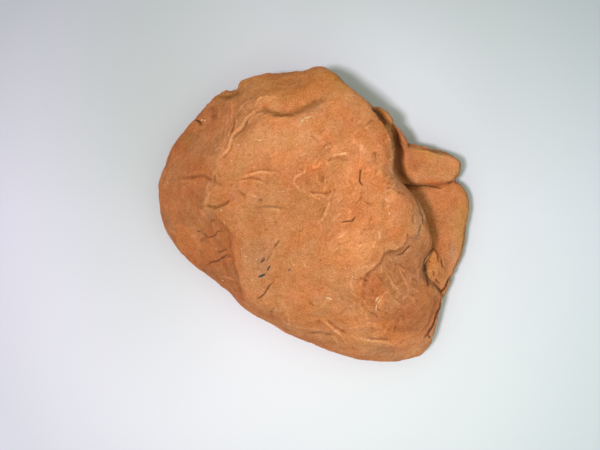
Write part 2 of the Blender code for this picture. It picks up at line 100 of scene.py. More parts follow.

# Strokes: a path, the half widths left and right of it (one number where they are equal),
# height, and tint (-1 dark to 1 pale). The tint is partly the stone's own colour and partly
# painted: paler on raised strokes as painted highlight, darker in grooves as painted shade.
STROKES = [
    # Crest that crosses the upper left
    ([(-24, 14), (-22.9, 15), (-21.5, 16.5), (-21.2, 18), (-20.8, 19.5), (-20, 20.4), (-19.4, 21),
      (-18.2, 21.8), (-17.7, 23), (-17.1, 24.2), (-16.4, 24.8), (-15.4, 25.7), (-14, 26.3),
      (-13.3, 27)], (0.34, 0.24), 0.22, 0.45),
    ([(-24, 13.6), (-21.3, 17), (-19.6, 20.4), (-17.5, 23), (-14.5, 26)], (1.6, 0.7), 0.26, 0),
    ([(-23.4, 13.8), (-22, 15.2), (-21, 16.7), (-20.8, 18)], (0.2, 0.4), -0.1, -0.2),
    # The dark line right of the crest: painted shadow of the crest
    ([(-20.8, 18), (-20.3, 19.3), (-19.5, 20.2), (-18.6, 20.9), (-18, 21.8), (-17.4, 22.6),
      (-16.8, 23.8), (-16, 24.5)], (0.22, 0.4), -0.2, -0.36),
    ([(-20, 23.4), (-20.4, 22), (-20.9, 20.8), (-21, 20.2)], 0.25, -0.14, -0.34),
    ([(-19.6, 24), (-20, 22), (-20.3, 21.3)], 0.25, 0.12, 0.26),
    ([(-20.7, 28.8), (-20.9, 25.5), (-20.8, 22)], 0.3, 0.08, 0.14),
    ([(-22.8, 21.1), (-22, 21.8)], 0.25, 0.06, 0.16),
    ([(-25.2, 16), (-24.2, 16.8), (-23.2, 16.5)], 0.2, 0.06, 0.16),
    ([(-23.9, 15.6), (-22.9, 17.4), (-22.1, 19.2), (-21.4, 21.2)], 0.18, 0.09, 0.26),
    ([(-23.3, 17.6), (-22.5, 19.4), (-21.9, 21.4), (-21.5, 23.4)], 0.18, 0.08, 0.24),
    ([(-22.7, 19.6), (-22.3, 21.6), (-22, 23.8), (-21.9, 25.6)], 0.18, 0.07, 0.2),
    ([(-24.4, 18.4), (-23.5, 20.4), (-23, 22.2)], 0.18, 0.06, 0.18),
    ([(-23.4, 16.6), (-22.4, 18.6), (-21.8, 20.6)], 0.16, -0.08, -0.22),
    ([(-22.8, 18.6), (-22.1, 20.6), (-21.7, 22.6)], 0.16, -0.08, -0.2),
    ([(-19.6, 25.4), (-18.4, 27), (-16.8, 28.2), (-15.4, 28.6)], 0.25, 0.07, 0.18),
    ([(-24.2, 17.6), (-22.9, 17.3)], 0.2, 0.05, 0.14),
    ([(-18.9, 27.6), (-17.6, 25.6), (-16.9, 25.2)], 0.25, 0.05, 0.12),
    # Valley below the upper edge
    ([(-14.6, 25.2), (-12.8, 26.2), (-11, 25.5), (-9, 25.1), (-7, 25), (-5.4, 25.6), (-4, 26.3),
      (-2, 27.2), (0, 28.2), (1.5, 28.8), (3, 30)], (0.8, 0.7), -0.2, -0.1),
    ([(-12.9, 26.7), (-12, 26), (-10, 25.6), (-7.8, 25.2)], 0.25, -0.08, -0.15),
    ([(-12, 24.6), (-10, 24.9), (-8, 24.7), (-6.5, 24.7)], 0.22, -0.06, -0.16),
    ([(-4.4, 26.2), (-2, 27.2), (0, 28.2), (1.5, 28.8)], (0.3, 0.25), -0.08, -0.12),
    ([(-15.2, 24.6), (-12.8, 25.5)], 0.25, 0.14, 0.3),
    ([(-15, 27), (-14.7, 28), (-14, 29), (-13, 29.3), (-11, 29.4), (-9.5, 29.2)],
     (0.3, 0.28), 0.14, 0.3),
    ([(-14, 27.4), (-13.4, 28.4), (-12.2, 28.7), (-10.6, 28.7)], 0.2, 0.06, 0.14),
    ([(-11.5, 24), (-8.5, 23.9), (-5.5, 24.3)], 0.5, 0.1, 0.12),
    # Upper left corner
    ([(-25, 29.2), (-24, 29.5), (-22.5, 29.3), (-21, 29.7), (-19.5, 30.3), (-18.6, 30.1)],
     0.6, -0.16, -0.2),
    ([(-26, 27.5), (-25.5, 25), (-25.8, 23.5)], 0.8, -0.1, -0.16),
    ([(-24.4, 27.6), (-24, 25.6), (-24.3, 24.2)], 0.3, 0.06, 0.12),
    # Left flank
    ([(-34.5, 9), (-31, 9.3), (-29, 9.6), (-27.5, 9.4), (-26.2, 8.6), (-25, 8), (-24, 7.6),
      (-22.6, 6.6)], 0.5, -0.14, -0.2),
    ([(-34, 8.4), (-31.5, 8.2), (-30, 7.8), (-29, 7.2)], 0.3, 0.07, 0.12),
    ([(-25.2, 9.9), (-25.2, 8)], 0.25, -0.08, -0.2),
    ([(-24.8, 9.8), (-24.2, 8.9)], 0.2, 0.06, 0.16),
    ([(-25.8, 10.2), (-24.6, 10.9)], 0.4, 0.06, 0.2),
    ([(-26.7, 8), (-27, 6.5), (-26.8, 4.5), (-27.5, 3.2), (-27.2, 2)], (0.45, 0.38), 0.2, 0.26),
    ([(-25.8, 5.3), (-25, 4.6), (-24.2, 4.4)], 0.2, 0.08, 0.2),
    ([(-24.7, 4.7), (-24.2, 5.6)], 0.2, 0.06, 0.16),
    ([(-28.3, 2), (-27, 2.2), (-25, 1.7), (-22.8, 2.5), (-20.6, 4.2)], (0.5, 0.45), -0.16, -0.26),
    ([(-28.2, 1.5), (-28.6, 0.7), (-28, 0), (-28.1, -0.8)], 0.35, 0.14, 0.22),
    ([(-24.8, -0.3), (-23, -1.7), (-22.2, -2.8)], 0.25, 0.12, 0.26),
    ([(-22.3, -0.4), (-21.8, -1.4)], 0.18, 0.07, 0.2),
    ([(-21.6, -0.6), (-21, -1.6)], 0.18, 0.07, 0.2),
    ([(-22, -11), (-21, -11)], 0.2, 0.08, 0.2),
    ([(-24, -15.7), (-22.5, -15.6), (-21, -16), (-19.8, -16.6)], 0.22, 0.1, 0.22),
    ([(-33, -3), (-30.5, -6.5), (-27.5, -9.5)], 0.9, 0.14, 0.05),
    ([(-32.6, -9), (-29.5, -12.5), (-26, -15.5)], 0.6, -0.1, -0.08),
    # Left edge of the middle
    ([(-17.5, 5), (-21, 2.6), (-24.5, 1.2), (-23.5, -0.5), (-21.5, -3), (-20.6, -5), (-20.2, -9),
      (-19.7, -12), (-19.1, -14.5), (-17.8, -19), (-17.6, -21.8)], (1.2, 0.6), 0.2, 0.06),
    ([(-21.6, -4), (-21, -9), (-20.4, -12), (-19.8, -14.5), (-18.6, -19), (-18.2, -21.8)],
     (0.45, 0.8), -0.08, -0.04),
    # Ribs left of the middle
    ([(-17.5, 10.4), (-16, 10.5), (-14.5, 11), (-13, 11.2), (-12, 11), (-10.5, 10.8), (-10.4, 10)],
     0.25, -0.1, -0.22),
    ([(-19.6, 9.2), (-18, 9.5), (-16.5, 9.9), (-15, 10.4), (-13, 10.6), (-11, 10.5), (-9.6, 10.2)],
     (0.35, 0.3), 0.2, 0.36),
    ([(-19.4, 8.2), (-17.8, 8.4), (-16.8, 8.3)], 0.3, 0.12, 0.26),
    ([(-19, 8.8), (-17, 9), (-15.5, 9.1), (-14, 8.8), (-12.8, 8.4)], 0.22, -0.12, -0.28),
    ([(-16, 8.3), (-14.5, 8.4), (-13.2, 8), (-13, 7.5)], 0.25, 0.1, 0.2),
    ([(-13.4, 10.4), (-11.6, 10.2), (-10.8, 9.6)], 0.2, 0.05, 0.12),
    ([(-16.3, 5.3), (-15.4, 4.7), (-14.6, 4.2)], 0.2, 0.08, 0.3),
    ([(-16.9, 5.5), (-15.8, 4.3)], 0.18, 0.06, 0.22),
    ([(-15, 1.6), (-12.5, 2), (-10.5, 2), (-9, 1.7), (-7, 1.4)], 0.26, -0.07, -0.18),
    ([(-12.7, 1.2), (-11, 1.4), (-10, 1.2), (-8.8, 0.8), (-7, 0.9)], 0.22, 0.08, 0.2),
    ([(-20, 6.4), (-18.2, 5.2), (-17.2, 3.4)], 0.5, -0.12, -0.14),
    # Loop near the middle
    ([(-2.3, 12.6), (-2.4, 11.3), (-3, 10.4), (-4, 10), (-4.8, 9.5), (-5.2, 8.6), (-5.2, 8),
      (-4.6, 7), (-3.8, 6.2), (-2.8, 5.8)], (0.25, 0.3), 0.18, 0.39),
    ([(-6.3, 8.2), (-5.6, 7.8)], 0.2, 0.08, 0.18),
    ([(-4, 11.3), (-3, 11.2)], 0.2, -0.1, -0.26),
    ([(-1.3, 11.5), (0.5, 12), (1.5, 13), (2.2, 13.6)], 0.3, 0.18, 0.34),
    ([(3, 13.5), (2.7, 12.9), (3.4, 12.3)], 0.22, 0.16, 0.44),
    ([(4, 14.3), (5, 14.8), (6, 15), (7, 15.2), (8.3, 14.9)], (0.28, 0.25), 0.18, 0.52),
    ([(6, 15.05), (7, 15.15), (7.8, 15.05)], 0.2, 0.07, 0.52),
    ([(4.2, 13.6), (5.4, 14), (6.8, 14.2)], 0.3, -0.13, -0.18),
    ([(-2, 5.9), (-0.5, 5.5), (1.2, 5.2), (2.6, 5.3), (3.4, 5.6), (3.9, 6.1)], 0.24, -0.13, -0.28),
    ([(-1.5, 5.1), (-0.8, 4.7), (0.2, 4.2), (1.2, 3.5)], 0.22, 0.16, 0.39),
    ([(-0.5, 5), (0.5, 5), (1.5, 4.9), (2.5, 4.6)], 0.22, 0.16, 0.42),
    ([(3.2, 4), (3.3, 2), (2.6, 0.5), (1.8, -1), (0.7, -2.2)], (0.35, 0.3), 0.16, 0.26),
    ([(2.4, 2.2), (2.1, 1.2), (1.6, 0.1)], 0.25, -0.1, -0.21),
    ([(3.4, 8.9), (2.9, 7.6), (3.2, 6.4)], (0.4, 0.3), -0.16, -0.13),
    ([(0.2, 9.6), (0.6, 8.2), (1.6, 7.2)], 0.3, 0.13, 0.16),
    # Right of the middle
    ([(11.9, 11.8), (11.7, 10.6), (11.6, 9.4), (11.5, 8.3)], (0.25, 0.2), 0.1, 0.2),
    ([(12.5, 10.5), (13.8, 11.3)], 0.25, 0.06, 0.12),
    ([(6.8, 8), (7.4, 6.5)], 0.2, 0.07, 0.2),
    ([(6.4, -2.4), (7.6, -2.2), (8.8, -2.1)], 0.2, 0.07, 0.16),
    ([(9, 19), (11.5, 16), (13, 12)], 1.4, 0.2, 0.05),
    ([(14.5, 16.5), (15.2, 12.5), (15, 8)], 1, -0.16, -0.06),
    # Edge of the crevice and the flake
    ([(19.4, 21.5), (19.3, 19.5)], 0.18, 0.06, 0.26),
    ([(21, 20.8), (21.6, 19.5), (22.2, 18), (23, 16.3)], 0.3, 0.1, 0.2),
    ([(19, 17.6), (19.1, 14), (18.9, 11.6), (19.6, 9)], 0.45, 0.08, 0.1),
    # Upper lobe
    ([(24.3, 16.8), (26, 16.5), (28.5, 16), (30, 15.6), (32.5, 14.7)], 0.22, -0.14, -0.26),
    ([(24.6, 17.3), (27, 16.9), (29.5, 16.3)], 0.25, 0.08, 0.14),
    ([(33.3, 7.2), (31.8, 6.4), (30, 5.6)], 0.22, 0.08, 0.14),
    # Lower lobe and shoulder
    ([(33.5, -7), (33.5, -8.2), (33.3, -9.5)], 0.2, -0.08, -0.22),
    ([(24.2, 4.5), (25.6, 2.5), (26.6, 0), (27.2, -2.5)], 0.14, -0.06, -0.2),
    ([(24.8, 4.6), (26.1, 2.6), (27.1, 0.1), (27.7, -2.4)], 0.14, 0.05, 0.14),
    # Scar in the lower right
    ([(11.5, -18), *SCAR_RIM, (25.5, -4.5)], (0.9, 0.3), 0.16, 0.12),
    ([(12.2, -17.6), (12.7, -15.2), (15.3, -12.9), (17.3, -10.3), (19.6, -9.3), (22, -8)],
     (0.3, 0.8), -0.16, -0.14),
    ([(22.5, -9.5), (23.2, -9)], 0.2, 0.08, 0.24),
    ([(17.5, -14.3), (18.5, -16), (19.3, -17.8), (19.8, -19)], 0.2, 0.1, 0.42),
    ([(18.5, -14), (19.5, -15.5), (20.2, -16.7)], 0.17, 0.08, 0.32),
    ([(20.7, -13), (21.3, -14.5), (22, -15.8), (22.5, -16.8), (23.3, -18.5)], 0.2, 0.1, 0.44),
    ([(22.2, -16.8), (21, -17.8), (20, -19)], 0.17, 0.08, 0.34),
    ([(12.5, -18.6), (13.4, -19.4)], 0.35, 0.12, 0.36),
    ([(12.4, -20.7), (13.5, -20.5)], 0.3, 0.1, 0.36),
    ([(11.3, -20.5), (12.4, -22.2), (13.8, -24)], 0.22, 0.09, 0.32),
    ([(11.6, -22), (12, -23)], 0.22, -0.1, -0.34),
    ([(20, -28), (19.8, -29.2)], 0.2, -0.08, -0.18),
    ([(17, -20.5), (20.5, -22.5), (24.5, -23)], 0.9, 0.18, 0.06),
    ([(15.5, -25.5), (19, -26), (24, -25.5)], 0.8, -0.14, -0.06),
    ([(24.8, -10.5), (25.6, -13.5), (25.3, -17)], 0.6, 0.14, 0.1),
    # Folds along the lower edge
    ([(1.3, -26.4), (2.4, -26.8), (3.4, -27.6), (4.3, -28.5), (5, -29.2), (5.8, -29.9), (7, -30.6)],
     0.22, 0.14, 0.34),
    ([(2, -26.1), (4.2, -27.3), (6, -28.9), (8, -29.9)], (0.5, 0.3), -0.16, -0.2),
    ([(10.3, -30.6), (11.5, -31.2), (13, -31.4), (15, -31.6), (17, -31.9), (18.5, -32.2),
      (19.5, -32.8), (20.3, -33.5)], (0.22, 0.24), 0.14, 0.34),
    ([(12, -30.4), (14, -31), (16, -31.2), (18, -31.3), (19.3, -31.3)], (0.5, 0.25), -0.16, -0.22),
    ([(-2, -29.6), (1, -29.5), (3, -29.9), (4.5, -30.4)], 0.3, -0.1, -0.2),
    ([(3.7, -30.4), (5.2, -30.7)], 0.2, 0.07, 0.22),
    ([(-6, -27.5), (-2, -28.6), (1, -28.7)], 0.6, 0.1, 0.06),
    ([(8, -27), (12, -27.6), (17, -28)], 0.8, 0.14, 0.06),
    # Lines on the lower left
    ([(-10.9, -7.6), (-10.2, -6.8), (-9.6, -6.1)], 0.15, 0.04, 0.2),
    ([(-5.6, -13), (-5, -12.4)], 0.15, 0.05, 0.3),
    ([(-4.3, -3.7), (-3.3, -2.8)], 0.15, 0.05, 0.2),
    ([(-4, -4.1), (-3, -4.2)], 0.15, -0.05, -0.2),
    ([(2.3, -20.6), (3.4, -21), (4.2, -21.3)], 0.18, 0.06, 0.3),
    ([(16.05, -4), (16.1, -5.2), (15.8, -6.5)], 0.2, 0.07, 0.5),
]

# Short scratches strewn over ovals of the top: their number, the oval's middle and half axes,
# their direction and its spread in degrees, their lengths, and their tints
SCRATCHES = (
    (120, (10, 6), (11, 17), 50, 35, (1.2, 4), (-0.25, 0.28)),
    (70, (-14, 6), (20, 24), 20, 60, (1, 3.5), (-0.14, 0.14)),
    (90, (18, -20), (9, 11), 110, 60, (1, 3.5), (-0.26, 0.34)),
    (50, (2, -24), (14, 7), -20, 50, (1, 3.5), (-0.24, 0.28)),
)
SCRATCH_SPANS = 3
SCRATCH_BEND = 0.35
SCRATCH_HALF_WIDTHS = (0.14, 0.3)
SCRATCH_HEIGHT = 0.25

# Cracks: a path, half width, depth, and darkness from 0 to 1, which paints shade into them
CRACKS = [
    # Lower left
    ([(-14.6, -21.5), (-14.2, -20.8), (-13, -20), (-12.5, -19.3), (-12, -18.5), (-11.5, -17.8),
      (-10.8, -17), (-10.5, -16.8)], 0.19, 0.12, 0.6),
    ([(-10.5, -8.4), (-9.6, -7.2), (-8.9, -6.3)], 0.17, 0.1, 0.5),
    ([(-14, -12.2), (-13.2, -11.2), (-12.6, -10.6)], 0.17, 0.1, 0.5),
    ([(-12.4, -11.8), (-11.5, -10.4), (-10.8, -9.4)], 0.15, 0.1, 0.35),
    # Left
    ([(-30, 23.6), (-29, 23.2), (-28.6, 22.9)], 0.24, 0.35, 0.8),
    ([(-26.1, -2.2), (-26, -1.5), (-24.8, -1.4)], 0.17, 0.14, 0.45),
    ([(-29.8, -4.1), (-28.6, -4.25)], 0.18, 0.14, 0.5),
    ([(-27.6, -4.4), (-27, -5.7), (-25.5, -5.3), (-24.9, -5), (-24.5, -4.3), (-22.8, -4.1)],
     0.17, 0.16, 0.42),
    ([(-24.8, -9.5), (-23.4, -9.2), (-22.9, -8.9), (-22, -8.6)], 0.2, 0.16, 0.45),
    ([(-27.3, -12.9), (-26, -12), (-24.5, -11.6), (-23.8, -11.2), (-22.8, -10.6), (-22, -10.2),
      (-21, -10.4)], 0.2, 0.18, 0.5),
    ([(-22.5, -10.8), (-20.8, -10.6)], 0.14, 0.1, 0.3),
    # Middle
    ([(-14.2, 3.7), (-13.3, 3.5)], 0.28, 0.15, 0.38),
    ([(11.6, 11.7), (11.3, 10.8), (11.2, 9.5), (11, 8.5), (11.4, 7.8), (11.8, 6.9)],
     0.21, 0.2, 0.72),
    ([(6.1, -2), (7.2, -1.8), (8.2, -1.6), (9.2, -1.6), (9.8, -0.8), (10.3, -0.2)],
     0.18, 0.16, 0.6),
    ([(17.5, 6.5), (18.8, 6.6), (20, 6.3)], 0.17, 0.12, 0.35),
    ([(12, 3.5), (14, 2.3)], 0.17, 0.1, 0.25),
    ([(-1.5, 20), (-0.5, 19.2), (0.3, 18.6), (0.7, 17.8)], 0.16, 0.1, 0.3),
    ([(1.6, 9.8), (1.9, 9), (1.6, 8.2)], 0.25, 0.2, 0.4),
    ([(3.4, 5.6), (3.9, 6.1)], 0.25, 0.16, 0.35),
    # Flake
    ([(14, 27), (14.8, 26), (15.6, 25), (16.4, 24), (17.2, 23), (17.5, 22.3), (17.9, 21.8)],
     0.36, 0.6, 0.95),
    # Shoulder
    ([(25.9, 0.8), (26.6, -0.3), (26.8, -1.3), (26.8, -2.9)], 0.16, 0.2, 0.4),
    ([(26.3, -2.4), (26.1, -3.4), (25.7, -4.6)], 0.16, 0.2, 0.38),
    ([(24.4, 0.2), (24.5, -0.7), (24.4, -1.6), (24.6, -2.8)], 0.15, 0.16, 0.35),
    ([(23, -4.8), (23, -5.6)], 0.18, 0.14, 0.4),
    ([(20.6, 5.5), (21.1, 5.5)], 0.2, 0.14, 0.4),
    ([(21.7, 5.3), (22.2, 5.2)], 0.2, 0.14, 0.4),
    # Between the lobes
    ([(24.3, 7.2), (26, 7.2), (28, 7.1), (29.5, 6.9), (31, 6.6), (31.8, 6.7)], 0.24, 0.4, 0.55),
    ([(32.9, 7.6), (33.5, 7.9), (34.3, 8.2)], 0.22, 0.3, 0.6),
    # Crumbs
    ([(29, -8.3), (28.4, -9.8), (28, -10.3), (27.2, -11.7), (27.3, -12.4)], 0.22, 0.4, 0.6),
    ([(27.3, -12), (27.2, -13.5), (27.2, -14.5)], 0.32, 0.7, 0.9),
    ([(27.2, -14.5), (27.7, -15.5), (28.2, -17), (28.3, -18.5)], 0.22, 0.4, 0.6),
    ([(28.8, -11.2), (28.4, -11.9)], 0.16, 0.3, 0.6),
    ([(29.4, -14), (29.5, -15.5)], 0.16, 0.3, 0.5),
    ([(29.9, -16), (30.6, -16.8), (31.1, -17.3)], 0.17, 0.3, 0.5),
    ([(31.4, -11), (31.7, -12), (32, -13.5)], 0.2, 0.35, 0.55),
    # Sliver along the right edge
    ([(33.7, -15.5), (33, -16.8), (32.3, -18.3), (31.5, -19.3), (31.3, -20)], 0.28, 0.6, 0.75),
    ([(30.8, -18.4), (31.2, -19.3)], 0.18, 0.25, 0.5),
    ([(31.5, -20.5), (31.3, -22), (31.1, -23.3), (30.5, -24.5), (30, -26), (29.3, -28), (28.5, -29),
      (27.9, -30), (27, -31.3)], 0.25, 0.6, 0.7),
    ([(28, -30), (28.7, -31)], 0.2, 0.3, 0.6),
    # Scar
    ([(20, -10.3), (21, -10), (21.8, -9.6), (22.5, -8.9), (23.1, -8.3), (24, -7.6)],
     0.2, 0.22, 0.55),
]

# Pits: middle, radius, depth, and darkness from 0 to 1, which paints shade into them
PITS = [
    ((1.7, 8.9), 1.5, 0.35, 0.12),
    ((-28.8, 22.7), 0.4, 0.4, 0.7),
    ((-12.8, 26.5), 0.6, 0.16, 0.2),
    ((-19.6, 10), 0.3, 0.12, 0.4),
    ((-19.4, 8.4), 0.3, 0.12, 0.4),
    ((-19.6, 7.1), 0.3, 0.1, 0.3),
    ((-20.8, 7.4), 0.35, 0.1, 0.3),
    ((-14.4, 7.2), 0.3, 0.1, 0.35),
    ((-16.4, 15), 0.25, 0.1, 0.3),
    ((-28.4, -6.4), 0.35, 0.15, 0.45),
    ((1, -26.6), 0.35, 0.15, 0.45),
    ((20.1, -12.5), 0.25, 0.12, 0.45),
    ((18, -24.7), 0.3, 0.12, 0.4),
    ((-11, -24.3), 0.3, 0.15, 0.5),
    ((-10.5, -23.5), 0.25, 0.12, 0.45),
    ((-12.4, -3.7), 0.22, 0.1, 0.4),
    ((-9.9, -1.9), 0.22, 0.1, 0.4),
    ((1.2, -11.3), 0.22, 0.1, 0.4),
]

# Notches: middle, radius and depth. They are only where the skin is as steep as at the lump's
# edge.
NOTCHES = [
    ((-19.5, 31.5), 0.55, 0.8),
    ((-20.1, 30.9), 0.4, -0.3),
    ((-27.4, 26.5), 0.45, 0.35),
    ((-28.6, 25.4), 0.4, 0.25),
    ((-26.4, 28), 0.4, 0.25),
    ((-24.2, 30.1), 0.4, 0.25),
    ((-22.3, 30.9), 0.4, -0.2),
    ((35.3, -11.5), 0.5, 0.3),
    ((34.5, -13.5), 0.5, 0.3),
    ((33.8, -15.8), 0.5, 0.4),
]
NOTCH_SLOPE = 0.3

# Stains, painted shade and painted light, as shares of the stone's own colour
DARK = (0.72, 0.68, 0.66)
PALE = (1.26, 1.36, 1.44)
RED = (1.06, 0.84, 0.70)
OCHRE = (0.98, 0.98, 0.66)
OLIVE = (0.82, 0.95, 0.58)
GREY = (0.90, 1.00, 1.25)

# Oval patches: middle, half axes, turn in degrees, stain and share. Several are painted shade
# and painted light, as marked.
PATCHES = {
    # Painted shade: the left flank is darker, as less light falls on it
    "left flank": ((-31.5, 2), (9.5, 21), 10, DARK, 0.62),
    "left middle": ((-12, -9), (9, 15), 0, DARK, 0.13),
    "orange oval": ((19.6, -4.6), (2.4, 2.8), 0, RED, 0.75),
    "dark foot of the scar": ((24, -24.8), (4.6, 3.6), 0, DARK, 0.35),
    "grey upper scar": ((23.5, -13.5), (3.6, 5), 0, GREY, 0.6),
    "purple left scar": ((12.8, -17), (1.5, 3), 0, DARK, 0.3),
    "pale lower scar": ((16.8, -26.3), (2.6, 2.2), 0, PALE, 0.35),
    "grey lower edge": ((17, -34.6), (7, 1.8), 0, GREY, 0.7),
    "warm left flank": ((-31.5, 8), (9, 17), 10, RED, 0.38),
    "beside the crest": ((-22, 20.5), (9.5, 3), 60, PALE, 0.42),
    "lower right corner": ((26, -30.5), (4.5, 4), 0, GREY, 0.7),
    "dark lower right corner": ((26, -30.5), (4.5, 4), 0, DARK, 0.22),
    "right edge": ((33.4, -11), (1.6, 5), -20, GREY, 0.6),
    "brown crown": ((16.2, 18.5), (2.8, 6), 0, RED, 0.4),
    "greyish lower left": ((-14.5, -13), (3, 5.5), 15, GREY, 0.45),
    "greyish left middle": ((-15.5, -1.5), (2.5, 3), 0, GREY, 0.45),
    "brown above the rim": ((3, 17), (2.2, 1.6), 0, RED, 0.4),
    "dark fold": ((10.5, -26.5), (2.6, 1.4), -10, DARK, 0.2),
    "reddish scar": ((21.3, -16.5), (2.2, 3.2), 0, RED, 0.4),
    "reddish left scar": ((11, -19), (1.6, 2.6), 0, RED, 0.4),
    "dark lower edge": ((17.5, -34.8), (5.5, 1.3), 0, DARK, 0.3),
    "pink below the middle": ((7, -21), (2.6, 3.2), 0, GREY, 0.35),
    "lobe's root": ((24.2, 13.5), (1.5, 4), 0, DARK, 0.4),
    # Painted shade on the upper left
    "upper left": ((-25, 24), (7, 7), 0, DARK, 0.25),
    "top strip": ((-4, 33), (17, 4.4), 8, OCHRE, 0.6),
    # Painted shade: the strip that slopes down to the top edge is darker
    "dark top strip": ((-4, 33.6), (17, 4.2), 8, DARK, 0.4),
    # Painted light: below the valley, the crown and right of the middle are paler, as the flat top
    # catches the most light
    "below the valley": ((-7, 18.5), (9, 6.5), 0, PALE, 0.55),
    "crown": ((11, 9), (10, 20), 0, PALE, 0.4),
    "orange crown": ((12, 11), (8, 14), 0, RED, 0.5),
    "right middle": ((10, -9), (7, 6), 0, PALE, 0.55),
    "lower left": ((-15, -13), (6, 10), 15, DARK, 0.2),
    "lower left rim": ((-26, -14), (10, 4), -38, RED, 0.5),
    "red corner": ((-19, -20.5), (2.5, 2), -40, RED, 0.6),
    "rim patch": ((-34.5, 18.2), (1.4, 2.6), 25, RED, 0.5),
    "rim spot": ((-31.8, 19), (1.8, 1.8), 0, OLIVE, 0.5),
    "grey spot": ((-33.5, 4.5), (0.9, 0.9), 0, GREY, 0.5),
    "grey ridge": ((-27.2, 0.7), (1.2, 0.9), 0, GREY, 0.6),
    "brown hollow": ((-20, 5), (1.8, 1.8), 0, GREY, 0.6),
    "red spot by the crest": ((-19.6, 21.8), (0.6, 0.6), 0, RED, 0.8),
    "red spot by the valley": ((-12.8, 27.7), (0.9, 0.7), 0, RED, 0.8),
    "red spots in the corner": ((-20.6, 30.2), (1.6, 0.6), 15, RED, 0.6),
    "pale patch on the left": ((-27.8, 18.9), (0.7, 1), 20, PALE, 0.4),
    "pale hatch": ((-20.3, -3.5), (1.6, 1.6), 0, PALE, 0.35),
    "orange loop": ((0, 11.8), (2.4, 1.5), 15, RED, 0.8),
    "red above the rim": ((4.8, 15.4), (1.2, 0.5), 10, RED, 0.7),
    "orange patch": ((3, 19), (1.8, 1.4), 0, RED, 0.5),
    "crystals": ((18, 2.3), (0.9, 2.6), -12, PALE, 0.5),
    "olive flake": ((18, 22.2), (0.8, 0.9), 0, OLIVE, 0.8),
    "grey flake": ((15.4, 26.2), (0.9, 1.8), 40, GREY, 0.6),
    "brown flake": ((16.8, 25), (2.6, 2.6), 0, OCHRE, 0.6),
    "dark flake": ((16.8, 25), (2.6, 2.6), 0, DARK, 0.45),
    "upper lobe's end": ((31, 11), (1.4, 1), 0, RED, 0.5),
    # Painted light: the upper lobe's root is paler where the mass's shadow falls on it
    "upper lobe's root": ((25, 9.6), (2.4, 1.4), -10, PALE, 0.6),
    "olive edge of the lower lobe": ((37, -2), (2.2, 9), 0, OLIVE, 0.45),
    "pink oval": ((34, -8.5), (0.8, 1.6), 0, GREY, 0.6),
    "red scar": ((14.5, -20), (3.5, 5.5), -20, RED, 0.5),
    "red foot of the scar": ((22, -26), (7, 4), 0, RED, 0.5),
    "grey scar": ((25.2, -16.5), (1.5, 3.2), 0, GREY, 0.7),
    "pale spot in the scar": ((21, -27), (1.2, 0.8), 0, PALE, 0.35),
    "ochre crumbs": ((29.3, -12), (1.6, 1.8), 0, OCHRE, 0.8),
    "bright crumbs": ((28.6, -15.2), (0.9, 1.2), 0, PALE, 0.5),
    "purple foot": ((19.5, -35), (2, 1.2), 0, GREY, 0.5),
    "grey patch": ((-0.3, -21.5), (0.9, 0.7), 0, GREY, 0.6),
    "grey patch below": ((0.8, -24.6), (1.1, 0.9), 0, GREY, 0.6),
    "greenish patch": ((15.6, -21.8), (0.8, 1.9), -8, PALE, 1.1),
}

# Regions: an outline, how soft its edge is, stain and share. Some are painted shade, as marked.
REGIONS = {
    # Painted shade: the hollow on the left side is darker
    "hollow on the left": (
        [(-24.3, 1), (-22.2, -2.2), (-20.6, -4.8), (-20.3, -9), (-19.8, -12), (-19, -15.5),
         (-18, -19.5), (-17.7, -22.3), (-20.5, -22.5), (-25, -18.5), (-28.5, -14.5), (-28.8, -9),
         (-28.2, -4), (-27, 0.2)], 0.5, DARK, 0.5),
    "red in the hollow": (
        [(-24.3, 1), (-22.2, -2.2), (-20.6, -4.8), (-20.3, -9), (-20, -11.5), (-23, -13.5),
         (-27, -13), (-28.8, -9), (-26.5, -4)], 0.7, RED, 0.6),
    # Painted shade: the left side beyond the crest is darker
    "left of the crest": (
        [(-24.5, 13.5), (-21.5, 16.5), (-21.2, 18), (-20, 20.4), (-18.2, 21.8), (-17.1, 24.2),
         (-14, 26.3), (-15, 28), (-14.5, 30), (-20, 32.5), (-30, 28), (-41, 15), (-41, -2),
         (-30, -3), (-27, 4), (-25.4, 9)], 0.7, DARK, 0.35),
    "scar": (
        [(11.3, -22), (11.4, -18), *SCAR_RIM, (26, -4.5), (28.5, -9), (27, -12), (28, -17),
         (31, -21), (30, -26), (26, -29.5), (18, -29), (13.5, -26)], 0.4, DARK, 0.6),
}
